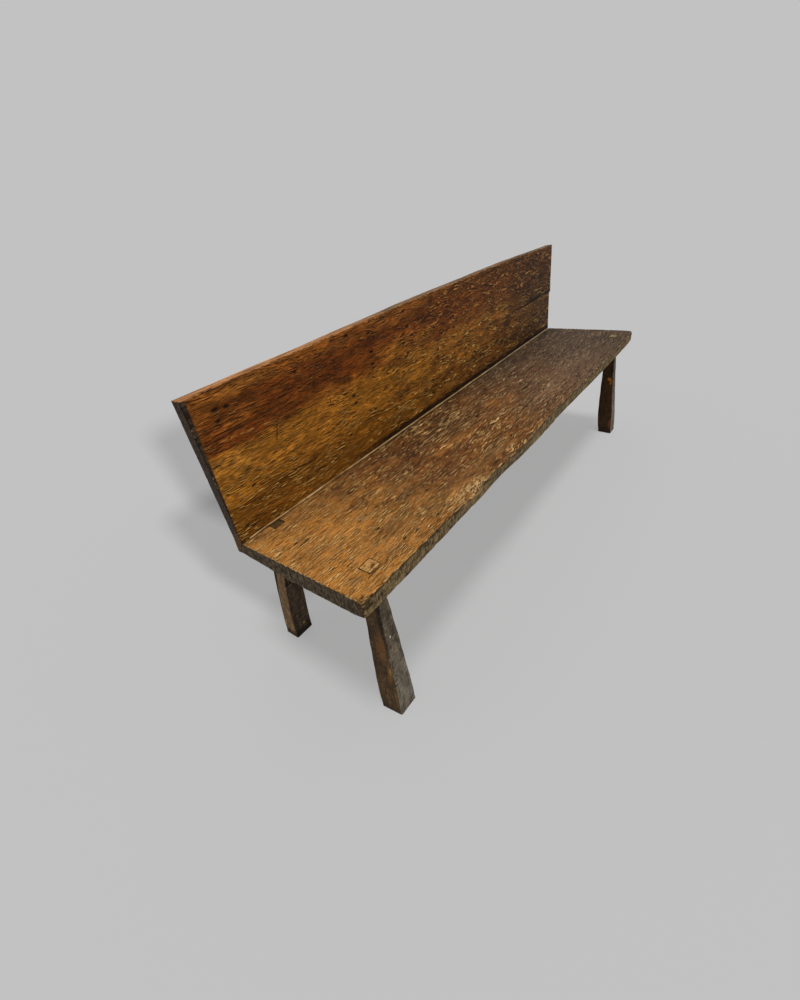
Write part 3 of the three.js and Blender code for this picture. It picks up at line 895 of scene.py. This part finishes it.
leg_finish = Surface("leg wood")
f = leg_finish
p = f.lie((seat_left, seam, 0))
along, across, _ = p.parts()
wood = f.attribute("wood", "Vector")
a, b, height = wood.parts()
left = f.facing((-1, 0, 0), 0.35, 0.75)
ahead = f.facing((0, -1, 0), 0.35, 0.75)
topped = f.facing((0, 0, 1), 0.5, 0.9)
rear = f.fade(across, -0.12, -0.08)
right_end = f.fade(along, 1.13, 1.23)
# Each face of a leg has its own tone: the front legs' front faces are greyer, and paler low down. The rear
# legs' left faces are painted lit, and their front faces, which look in under the seat, are painted shade,
# as are the left faces of the legs at the right end.
tone = f.blend(left, (82, 65, 46), f.blend(rear, (82, 62, 40), (128, 100, 68)))
tone = f.blend(ahead, tone, f.blend(rear, (98, 86, 70), (66, 52, 38)))
tone = f.blend(ahead * (1 - rear) * f.fade(height, 0.24, 0.06) * 0.7, tone, (122, 114, 100))
tone = f.blend(right_end * left, tone, (56, 38, 18))
mottle = f.cloud(wood, (0.018, 0.018, 0.060), 21, 4, 0.65)
tone = tone * (0.45 + 1.10 * f.fade(mottle, 0.28, 0.72))
fibre = f.cloud(wood, (0.0022, 0.0022, 0.024), 23, 2)
hewn = wood + f.node("ShaderNodeCombineXYZ", {}, {2: b * 0.5 - a * 0.45})
stroke = f.cloud(hewn, (0.012, 0.012, 0.0030), 24, 2, 0.6)
speck = f.cloud(wood, (0.0030, 0.0030, 0.0040), 29, 2, 0.7)
tone = tone * (0.10 + 0.60 * f.even(fibre) + 0.50 * f.even(stroke) + 0.70 * f.even(speck))
notch = f.fade(f.cloud(hewn, (0.018, 0.018, 0.0042), 22, 2, 0.6), 0.57, 0.63)
tone = f.blend(notch * (0.30 + 0.50 * ahead * rear), tone, (20, 15, 10))
ridge = f.fade(f.cloud(hewn, (0.016, 0.016, 0.0032), 28, 1), 0.60, 0.65)
tone = f.blend(ridge * ahead * 0.5, tone, f.blend(rear, (168, 152, 126), (140, 114, 82)))
edge = f.fade(f.cloud(p, (0.008, 0.008, 0.014), 25, 3), 0.30, 0.48)
for centre, half, amount, stain in (
    ((0.0495, -0.343, 0.136), (0.05, 0.007, 0.028), 0.65, (140, 94, 44)),
    ((0.0495, -0.344, 0.140), (0.05, 0.002, 0.014), 0.60, (196, 156, 96)),
    ((0.0495, -0.326, 0.215), (0.05, 0.014, 0.050), 0.50, (140, 94, 48)),
    ((1.7535, -0.325, 0.252), (0.05, 0.008, 0.007), 0.90, (184, 108, 32)),
    ((1.7535, -0.334, 0.240), (0.05, 0.005, 0.011), 0.90, (176, 100, 28)),
    ((1.7515, -0.358, 0.045), (0.05, 0.006, 0.022), 0.60, (118, 64, 44)),
    ((0.0830, -0.340, 0.240), (0.0024, 0.05, 0.0036), 0.95, (230, 226, 214)),
    ((0.1145, 0.020, 0.037), (0.0038, 0.05, 0.0032), 0.90, (176, 146, 62)),
    ((0.0775, 0.005, 0.229), (0.05, 0.0042, 0.0056), 0.95, (14, 10, 7)),
):
    tone = f.blend(f.mark(p, centre, half, 0, 0.35) * edge * amount, tone, stain)
shaded = f.fade(f.attribute("rearward") + height * 1.5 + (mottle - 0.5) * 0.2, 0.88, 0.98)
tone = f.blend(shaded * rear * left * 0.9, tone, (22, 15, 10))
flats = f.attribute("worn")
tone = f.blend(flats * f.fade(height + (mottle - 0.5) * 0.1, 0.12, 0.26) * 0.75, tone, (26, 19, 13))
foot = f.fade(height + (mottle - 0.5) * 0.06, 0.050, 0.008)
tone = f.blend(foot * (0.35 + 0.45 * rear), tone, (24, 20, 16))
# Painted shade darkens each leg's head, just under the seat.
head = f.fade(height, 0.33, 0.39) * (1 - topped)
tone = tone * (1 - 0.35 * head)
end_grain = f.cloud(wood, (0.0050, 0.0030, 0.03), 26, 3, 0.75)
end_tone = f.blend(rear, (198, 148, 84), (88, 64, 36))
end_tone = f.blend(right_end, end_tone, f.blend(rear, (146, 126, 84), (60, 48, 36)))
split_end = f.curls(wood, (0.013, 0.010, 0.05), 27, 0.028)
end_tone = end_tone * (0.35 + 1.1 * f.even(end_grain)) * (1 - 0.6 * split_end)
hole_rim = (f.cloud(p, (0.006, 0.006, 0.006), 27.5, 2) - 0.5) * 0.010
broken_out = f.mark(p + hole_rim, (0.0925, -0.3125, 0.430), (0.0095, 0.0050, 0.02), 0.5, 0.5)
end_tone = f.blend(broken_out * 0.85, end_tone, (92, 46, 18))
tone = f.blend(topped, tone, end_tone)
relief = 0.5 * fibre + 0.4 * stroke + 0.4 * mottle - 0.6 * notch + end_grain * topped * 0.4
f.wear(tone, 0.58 + 0.25 * mottle, relief, 0.0014)

for row, side in legs:
    end = "left" if side < 0 else "right"
    leg_points, leg_faces, leg_wear = leg_surface(row, side)
    leg = skin(f"leg_{row}_{end}_hewn", leg_points, leg_faces, **leg_wear)
    worked(
        leg,
        tool_marks,
        mark_size=(0.034, 0.034, 0.100),
        mark_depth=0.0017,
        fibre_size=(0.007, 0.007, 0.060),
        fibre_depth=0.0007,
        seed=4.0 + 3 * legs.index((row, side)),
        finish=leg_finish.material,
    )
    stand_for(leg, "leg_wood", f"leg_{row}_{end}")


# Wedges
# A thin riven slip of pale oak is driven down in front of each front tenon, and tightens it in
# its mortise. Only its broken top shows, level with the seat.
wedge_width = 0.034
wedge_step = 0.0024
wedge_broken = 0.0008  # how unevenly its top is broken off
wedge_finish = Surface("wedge wood")
f = wedge_finish
p = f.lie((0, 0, 0))
fibre = f.cloud(p, (0.0011, 0.0011, 0.012), 31, 3, 0.7)
blotch = f.cloud(p, (0.009, 0.004, 0.012), 32, 3)
tone = f.blend(f.fade(blotch, 0.35, 0.6), (132, 92, 48), (206, 166, 104))
tone = f.blend(f.fade(p.parts()[0], 0, 0.2), tone, (126, 112, 80))
tone = tone * (0.45 + 1.1 * fibre)
f.wear(tone, 0.62 + 0.2 * blotch, fibre, 0.0008)

for side, end in ((-1, "left"), (1, "right")):
    points, faces = block(
        lines(-wedge_width / 2, wedge_width / 2, wedge_step),
        np.linspace(0, 1, 6),
        lines(seat_top - wedge_depth, seat_top, wedge_step),
    )
    a, share, z = points.T
    axis = leg_axis("front", side)
    broken = wedge_broken * (1 + patches(points, (0.005, 0.6, 0.03), 33))
    z = z - broken * (z > seat_top - 0.001)
    y = axis.y - tenon_size["front"][1] / 2 + share * wedge_at(z)
    wedge = skin(f"wedge_front_{end}_riven", np.stack([axis.x + a, y, z], axis=1), faces)
    wedge.data.materials.append(wedge_finish.material)
    stand_for(wedge, "wedge_wood", f"wedge_front_{end}")


# Back plank
# One thin wide board of oak stands on edge behind the seat and leans back a little. It is dark and
# polished by use, with a worn top edge, and a split runs into it from its right end.
back_lean = math.radians(3)
back_thickness = 0.031
back_below = 0.034
back_height = 0.354  # where its top edge stands highest
back_end_drop = 0.009
# Place along the top edge, and how much of the drop it has fallen there
back_top_shares = np.array([
    [0, 1], [0.16, 0.78], [0.29, 0.33], [0.41, 0],
    [0.745, 0], [0.82, 0.33], [0.905, 0.67], [1, 1],
])
back_steps = (0.0052, 0.0048, 0.0052)  # its skin's grid, along, up and through
back_knocks = (0.0050, (0.03, 0.014, 0.03), 0.25, 44)
back_rubbed = 0.0018  # how much rounder its top front arris is
back_top_stray = 0.0008
back_foot_slope = 0.582
back_end_runs = (0.05, 0.03)  # how far in from its left and right ends their slant is taken up
seat_right = seat_left + seat_length
back_left = (seat_left, seat_left - 0.012)  # at the seat and at the top
# At the seat, and just below and above the split
back_right = (seat_right - 0.005, seat_right - 0.008, seat_right + 0.006)
split_height = (0.160, 0.163)
split_start = seat_right - 0.419
split_half = (0.00015, 0.0015)  # half its width, at its inner end and at the board's end
split_stray = 0.0016
back_turn = (math.pi / 2 - back_lean, 0, 0)


def leant(along, height, through):
    """A place on the leaning board, in the bench's own frame."""
    y = seam + height * math.sin(back_lean) + through * math.cos(back_lean)
    z = seat_top + height * math.cos(back_lean) - through * math.sin(back_lean)
    return np.stack([along, y, z], axis=1)


def back_surface():
    left, right = back_left[1], back_right[2]
    low, high = (left, -back_below, 0), (right, back_height, back_thickness)
    points, faces = block(*[lines(*grid) for grid in zip(low, high, back_steps)])
    radius = arris_radii(points, 0.06, 41, back_knocks)
    radius += back_rubbed * (points[:, 1] > back_height / 2) * (points[:, 2] < back_thickness / 2)
    points, worn = rounded(points, low, high, radius)
    x, height, through = points.T
    at_left = np.interp(height, [0, back_height], [back_left[0] - left, 0])
    at_right = np.interp(height, [0, *split_height], [edge - right for edge in back_right])
    x = x + at_left * np.clip(1 - (x - left) / back_end_runs[0], 0, 1)
    x = x + at_right * np.clip(1 - (right - x) / back_end_runs[1], 0, 1)
    front = back_foot_slope * np.maximum(-height, 0) + touching
    through = front + (back_thickness - front) * through / back_thickness
    fallen = back_end_drop * along_rows(back_top_shares, 1, np.clip((x - left) / (right - left), 0, 1))
    fallen += back_top_stray * (0.5 + patches(points, (0.20, 9, 9), 42))
    height = height - fallen * np.clip(height / back_height, 0, 1) ** 2
    height = np.minimum(height, back_height)
    marked = np.where(height < 0, 0.3, 1.0)
    return leant(x, height, through), faces, {"worn": worn, "marked": marked}


def split_cutter():
    end = back_right[2] + cutter_clear
    points, faces = block(
        np.linspace(split_start, end, 120),
        np.array([-1.0, 1.0]),
        np.linspace(-cutter_clear, back_thickness + cutter_clear, 12),
    )
    x, side, through = points.T
    run = np.clip((x - split_start) / (back_right[2] - split_start), 0, 1)
    middle = sum(split_height) / 2 + split_stray * patches(points, (0.09, 9, 0.03), 43)
    half = split_half[0] + (split_half[1] - split_half[0]) * run
    return skin("split", leant(x, middle + side * half, through), faces)


back_points, back_faces, back_wear = back_surface()
back = skin("back_plank_hewn", back_points, back_faces, **back_wear)
cut(back, split_cutter())

back_finish = Surface("back wood")
f = back_finish
p = f.lie((seat_left, seam, seat_top), back_turn)
x, height, through = p.parts()
near, sway, wriggle = waves(f, p, x, 51, 0.60, 0.05, (0.022, 0.019))
grain = p + f.node("ShaderNodeCombineXYZ", {}, {1: sway + wriggle, 2: sway * 0.5})
band = grain.parts()[1] + (f.cloud(grain, (0.20, 0.028, 0.028), 52, 4, 0.6) - 0.5) * 0.10
tone = f.blend(f.fade(band, 0.075, 0.125), (132, 82, 20), (170, 109, 32))
tone = f.blend(f.fade(band, 0.190, 0.235), tone, (116, 59, 15))
tone = f.blend(f.fade(band, 0.305, 0.330), tone, (138, 80, 26))
wander = (f.cloud(p, (0.22, 0.09, 0.09), 53, 3) - 0.5) * 0.6
tone = f.blend(f.fade(x + wander, 0.65, 1.15) * 0.5, tone, (108, 60, 20))
tone = f.blend(f.fade(x + wander, 1.10, 1.60) * 0.9, tone, (72, 41, 10))
patch = f.cloud(grain, (0.150, 0.032, 0.032), 55, 4, 0.65)
blotch = f.fade(f.cloud(p, (0.10, 0.04, 0.04), 54, 3, 0.6), 0.3, 0.7)
tone = f.stained(tone, p, blotch, 0.04, (
    (0.050, 0.172, 0.060, 0.032, 0.55, 200, 138, 58),
    (0.200, 0.160, 0.140, 0.030, 0.40, 182, 122, 46),
    (0.240, 0.052, 0.120, 0.026, 0.35, 160, 104, 40),
    (0.782, 0.243, 0.085, 0.018, 0.65, 174, 116, 44),
    (0.690, 0.245, 0.110, 0.028, 0.75, 172, 110, 36),
    (0.370, 0.225, 0.060, 0.018, 0.40, 160, 100, 34),
    (0.300, 0.300, 0.060, 0.020, 0.35, 138, 78, 26),
    (0.650, 0.110, 0.060, 0.030, 0.35, 74, 44, 12),
    (1.150, 0.200, 0.220, 0.040, 0.45, 160, 102, 42),
    (1.336, 0.195, 0.034, 0.018, 0.55, 186, 112, 40),
    (1.530, 0.120, 0.130, 0.034, 0.65, 128, 80, 26),
    (0.127, 0.326, 0.070, 0.010, 0.55, 178, 120, 52),
    (0.480, 0.300, 0.260, 0.022, 0.35, 80, 36, 13),
    (1.000, 0.305, 0.130, 0.035, 0.60, 50, 24, 8),
    (0.980, 0.150, 0.080, 0.060, 0.35, 72, 40, 12),
    (1.720, 0.180, 0.130, 0.120, 0.40, 48, 30, 16),
    (0.050, 0.300, 0.100, 0.036, 0.80, 164, 98, 34),
    (0.700, 0.120, 0.080, 0.030, 0.30, 72, 42, 14),
    (1.405, 0.136, 0.040, 0.014, 0.60, 40, 24, 16),
    # The last row is no stain but painted shade along the board's foot, over the lath.
    (1.300, 0.012, 0.480, 0.012, 0.55, 38, 22, 12),
))
mottle = f.cloud(grain, (0.045, 0.012, 0.012), 55.5, 4, 0.65)
varied = 0.75 + 0.25 * f.fade(x, 0.5, 1.1)
for spots in (patch, mottle):
    tone = f.swing(tone, varied * 0.70, spots, 0.20, 0.80)
lively = 0.35 + 0.65 * f.fade(f.cloud(p, (0.12, 0.05, 0.05), 59, 2), 0.36, 0.58)
low_down = 0.35 + 0.65 * f.most(f.fade(height, 0.17, 0.08), f.fade(x, 0.5, 1.0))
dark_tone = (26, 13, 5)
pale_tone = f.blend(f.fade(height, 0.18, 0.24), (228, 178, 94), (194, 132, 64))
pale_tone = f.blend(f.fade(x, 1.1, 1.5) * 0.5, pale_tone, (180, 134, 74))
deep = 0.70 + 0.30 * lively
pale = (pale_tone, lively * low_down)
tone, lift = fibres(f, tone, near, grain, 56, deep, pale, (dark_tone, lively * 0.9), 0.014)
curled = f.fade(f.cloud(p, (0.016, 0.012, 0.012), 60.7), 0.52, 0.58) * f.fade(x, 0.5, 1.0)
tone = f.blend(f.curls(p, (0.026, 0.014, 0.014), 60.5, 0.016) * curled * 0.4, tone, (196, 146, 84))
scratch = f.fade(f.cloud(p, (0.0022, 0.040, 0.010), 61, 1), 0.69, 0.74)
tone = f.blend(scratch * 0.40, tone, (176, 122, 68))
# Cracks and the split are drawn dark, and so is painted shade along the board's foot, over the lath: the
# last and longest of these lines is that shade.
cracks_and_foot_shade = 0
for centre, half, turn in (
    ((0.185, 0.196, 0), (0.024, 0.0012, 0.04), 1.220),
    ((0.373, 0.203, 0), (0.009, 0.0012, 0.04), 1.230),
    ((0.454, 0.226, 0), (0.016, 0.0012, 0.04), 1.370),
    ((1.560, 0.012, 0), (0.320, 0.0040, 0.04), 0.000),
):
    cracks_and_foot_shade = f.most(cracks_and_foot_shade, f.mark(p, centre, half, turn, 0.5))
split_at = height - 0.1615 + (patch - 0.5) * 0.006
below_split = f.fade(split_at, -0.034, -0.006) * f.fade(split_at, -0.001, -0.004)
tone = f.blend(below_split * f.fade(x, 1.43, 1.60) * 0.40, tone, (134, 90, 42))
gaping = f.off(split_at) - 0.0050 * f.fade(x, 1.38, 1.75)
cracks_and_foot_shade = f.most(cracks_and_foot_shade, f.fade(gaping, 0.0022, 0.0006) * f.fade(x, 1.43, 1.47))
# A band of painted shade along the board's foot, over the lath, except near its left end.
cracks_and_foot_shade = f.most(cracks_and_foot_shade, f.fade(height + (mottle - 0.5) * 0.010, 0.024, 0.013) * f.fade(x, 0.35, 0.60))
tone = f.blend(cracks_and_foot_shade * 0.92, tone, (24, 13, 7))
vein = f.off(height - 0.243 - x * 0.05 + (mottle - 0.5) * 0.012)
tone = f.blend(f.fade(vein, 0.0042, 0.0008) * f.fade(x, 0.30, 0.18) * 0.6, tone, (40, 20, 9))
broken = f.fade(f.cloud(p, (0.012, 0.003, 0.003), 66, 1), 0.46, 0.54)
sliver = f.mark(p, (0.100, 0.2330, 0), (0.100, 0.0022, 0.04), -0.08, 0.5)
tone = f.blend(sliver * broken * 0.8, tone, pale_tone)
holes = f.mark(p, (0.054, 0.303, 0), (0.009, 0.0036, 0.02))
holes = f.marks(holes, p, (0.0070, 0.0030, 0.02), (
    (0.082, 0.299), (0.052, 0.279), (0.473, 0.334), (0.282, 0.306),
    (0.736, 0.291), (0.711, 0.250), (0.461, 0.183), (0.465, 0.160),
    (0.923, 0.151), (0.082, 0.112), (0.561, 0.269), (0.557, 0.237),
    (1.096, 0.136), (0.999, 0.221),
))
tone = f.blend(holes * 0.92, tone, (18, 10, 5))

# Its top edge is rubbed pale, with a line of dirt along it, and its left end is bare and dark.
over = f.facing((0, 0, 1), 0.3, 0.8)
strip = through + (f.cloud(p, (0.12, 0.05, 0.05), 62, 2) - 0.5) * 0.010
ragged_top = f.cloud(p, (0.040, 0.03, 0.03), 61.5, 3)
top_tone = f.blend(f.fade(x + wander, 0.20, 0.80), (170, 116, 70), (132, 100, 72))
top_tone = f.blend(f.fade(x + wander, 1.20, 1.75), top_tone, (112, 88, 68))
top_tone = top_tone * (0.40 + 1.20 * f.even(f.cloud(p, (0.060, 0.0050, 0.0050), 62.5, 2)))
top_line = f.fade(f.off(strip - 0.015), 0.0042, 0.0016) * f.fade(ragged_top, 0.42, 0.50)
top_tone = f.blend(top_line * 0.75, top_tone, (70, 38, 20))
tone = f.blend(over, tone, top_tone)
worn = f.fade(f.attribute("worn"), 0.50, 0.90)
ragged = f.cloud(p, (0.014, 0.010, 0.010), 63, 3, 0.6)
ends = f.fade(f.off(x - seat_length / 2), seat_length / 2 - 0.002, seat_length / 2 + 0.001)
left_side = f.fade(x, 0.030, 0.010)
arris = worn * (1 - 0.8 * left_side)
tone = f.blend(arris * f.fade(ragged, 0.46, 0.41) * 0.70, tone, (34, 20, 11))
tone = f.blend(arris * f.fade(ragged, 0.51, 0.57) * 0.60, tone, (190, 140, 88))
end_mottle = f.cloud(p, (0.03, 0.008, 0.004), 64, 3, 0.65)
end_tone = f.blend(f.fade(end_mottle, 0.35, 0.65), (34, 26, 20), (86, 68, 50))
tone = f.blend(ends * (1 - over), tone, end_tone)
left_arris = worn * left_side * (1 - over)
tone = f.blend(left_arris * 0.85, tone, (24, 15, 9))
tone = f.blend(left_arris * f.fade(ragged, 0.58, 0.63) * 0.8, tone, (176, 132, 84))
rear = f.facing((0, 1, 0), 0.3, 0.8)
rear_tone = f.blend(f.cloud(grain, (0.20, 0.03, 0.03), 65, 3), (78, 60, 44), (122, 100, 74))
tone = f.blend(rear * 0.7, tone, rear_tone * (0.5 + 1.0 * f.fade(mottle, 0.25, 0.75)))
relief = lift + 0.3 * mottle - 0.5 * cracks_and_foot_shade - 1.2 * holes
f.wear(tone, 0.48 + 0.26 * mottle + 0.20 * over, relief, 0.0030)

worked(
    back,
    tool_marks,
    mark_size=(0.240, 0.100, 0.100),
    mark_depth=0.0009,
    fibre_size=(0.100, 0.016, 0.016),
    fibre_depth=0.0008,
    seed=2.0,
    finish=back_finish.material,
)
stand_for(back, "back_wood", "back_plank")
boards.objects.link(back)


# Nails
# Six hand-forged nails hold the back to the seat. Each has a square tapered shank, and a head
# beaten to a low rough dome, which stands on the board's rear face near its foot.
nail_below = 0.017
nail_length = 0.076
nail_half = (0.0009, 0.00275)  # at the point and under the head
nail_corner = 1.32  # how far its shank's corners reach, in half widths
nail_head_half = 0.0073
nail_crown_half = 0.0025
nail_head_height = 0.0032
# The head's rings, from its rim's underside up: share of its width, and of its height
nail_head_rings = ((0.80, 0), (0.94, 0.10), (1.0, 0.28), (0.95, 0.45), (0.72, 0.70), (0.50, 0.92))
nail_least = 0.97  # the smallest nail's size, where the largest is 1
nail_turn = 0.5  # how far each is turned on itself, either way
nail_rows = (-0.874, -0.558, -0.186, 0.186, 0.558, 0.874)
nail_sides = 24
nail_shank_rings = 20


def forged_nail():
    """One nail on its own, its head at the origin and its point towards -Z."""
    turns = np.arange(nail_sides) * 2 * math.pi / nail_sides
    corner = 1 / np.maximum(np.abs(np.cos(turns)), np.abs(np.sin(turns)))
    beaten = 1 + 0.06 * np.cos(5 * turns + 0.4) + 0.03 * np.cos(8 * turns)
    rings = []
    for place in np.linspace(1, 0, nail_shank_rings):
        half = nail_half[1] + (nail_half[0] - nail_half[1]) * place
        rings.append((half * np.minimum(corner, nail_corner), -nail_length * place))
    for share, rise in nail_head_rings:
        rings.append((nail_head_half * share * beaten, nail_head_height * rise))
    rings.append((np.full(nail_sides, nail_crown_half), nail_head_height))
    points, faces = [], []
    for reach, z in rings:
        points += [(r * math.cos(t), r * math.sin(t), z) for r, t in zip(reach, turns)]
    for ring in range(len(rings) - 1):
        for side in range(nail_sides):
            after = (side + 1) % nail_sides
            low, high = ring * nail_sides, (ring + 1) * nail_sides
            faces.append((low + side, low + after, high + after, high + side))
    faces.append(tuple(range(nail_sides))[::-1])
    faces.append(tuple(range((len(rings) - 1) * nail_sides, len(rings) * nail_sides)))
    return skin("nail", points, faces)


def nail_row_tree():
    """Sets a nail on every point, turned and sized a little differently, as a smith's are."""
    names = ("Lean", "Least turn", "Most turn", "Least size", "Most size")
    g = Making("nail row", {"Nail": "Object", **dict.fromkeys(names, "Float"), "Seed": "Int"})
    given = g.given

    def between(low, high):
        values = {"Min": low, "Max": high, "Seed": given["Seed"]}
        return g.node("FunctionNodeRandomValue", {"data_type": "FLOAT"}, values, 1)

    def about(axis, turn):
        return g.node("ShaderNodeCombineXYZ", {}, {axis: turn})

    placed = g.node("GeometryNodeInstanceOnPoints", {}, {
        "Points": given["Geometry"],
        "Instance": g.node("GeometryNodeObjectInfo", {}, {"Object": given["Nail"]}, "Geometry"),
        "Rotation": about("X", given["Lean"]),
        "Scale": between(given["Least size"], given["Most size"]),
    })
    turn = about("Z", between(given["Least turn"], given["Most turn"]))
    values = {"Instances": placed, "Rotation": turn, "Local Space": True}
    return g.ended(g.node("GeometryNodeRotateInstances", {}, values))


nail_finish = Surface("nail iron")
f = nail_finish
p = f.lie((0, 0, 0))
scale = f.cloud(p, (0.004, 0.004, 0.004), 71, 4, 0.65)
rust = f.fade(f.cloud(p, (0.006, 0.006, 0.006), 72, 3, 0.6), 0.44, 0.60)
tone = f.blend(scale, (38, 34, 32), (92, 84, 78))
tone = f.blend(rust * 0.8, tone, (112, 62, 34))
f.tree.links.new((0.75 - 0.65 * rust).socket, f.shader.inputs["Metallic"])
f.wear(tone, 0.48 + 0.35 * rust, scale, 0.0006)

nail_middle = seat_left + seat_length / 2
spots = leant(
    np.array(nail_rows) + nail_middle,
    np.full(len(nail_rows), -nail_below),
    np.full(len(nail_rows), back_thickness + touching),
)
nails = skin("forged_nails", spots, [])
one_nail = forged_nail()
worked(
    nails,
    nail_row_tree(),
    nail=one_nail,
    lean=-math.pi / 2 - back_lean,
    least_turn=-nail_turn,
    most_turn=nail_turn,
    least_size=nail_least,
    most_size=1.0,
    seed=5,
    finish=nail_finish.material,
)
bpy.data.objects.remove(one_nail)
stand_for(nails, "nail_iron", *[f"back_nail_{number}" for number in range(1, 7)])


# Seam lath
# A narrow riven lath of pale wood lies along the joint of the seat and the back and closes it. It
# wanders a little, as it was split and not sawn, and is broken short of both ends.
lath_wave = 0.0014
lath_fray = 0.0010
lath_step = 0.0045
lath_square = 0.35  # how square its section stays, where 0 is round and 1 is sharp


def lath_surface():
    low, high = lath_low, lath_high
    points, faces = block(lines(low.x, high.x, lath_step), np.linspace(0, 1, 8), np.linspace(0, 1, 7))
    x, across, up = points.T
    round_across, round_up = across - 0.5, up - 0.5
    reach = np.maximum(np.abs(round_across), np.abs(round_up))
    length = np.hypot(round_across, round_up)
    rounder = lath_square * reach / np.maximum(length, 1e-9) + 1 - lath_square
    softened = np.where(length > 0, rounder, 1)
    wander = lath_wave * patches(points * (1, 0, 0), (0.11, 1, 1), 81)
    front = low.y + np.abs(wander) + lath_fray * np.abs(patches(points, (0.016, 1, 1), 82))
    rise = 1 + 0.22 * patches(points, (0.05, 1, 1), 83) + 0.10 * patches(points, (0.012, 1, 1), 84)
    y = high.y - (high.y - front) * (0.5 - round_across * softened)
    z = low.z + (high.z - low.z) * (0.5 + round_up * softened) * np.clip(rise, 0.4, 1.15)
    return np.stack([x, y, z], axis=1), faces


lath = skin("seam_lath_riven", *lath_surface())
lath_finish = Surface("lath wood")
f = lath_finish
p = f.lie((seat_left, seam, seat_top))
x = p.parts()[0]
fibre = f.cloud(p, (0.030, 0.0011, 0.0011), 85, 3)
blotch = f.cloud(p, (0.060, 0.01, 0.01), 86, 4, 0.6)
tone = f.blend(f.fade(blotch, 0.36, 0.62), (156, 118, 70), (220, 184, 130))
tone = f.blend(f.fade(x, 0.9, 1.5) * 0.6, tone, (186, 162, 130))
worn_off = f.fade(f.cloud(p, (0.016, 0.01, 0.01), 87, 2), 0.58, 0.70)
tone = f.blend(worn_off * 0.7, tone, (84, 56, 28))
tone = tone * (0.35 + 1.0 * fibre)
f.wear(tone, 0.55 + 0.2 * blotch, fibre, 0.0008)
lath.data.materials.append(lath_finish.material)
stand_for(lath, "lath_wood", "seam_lath")
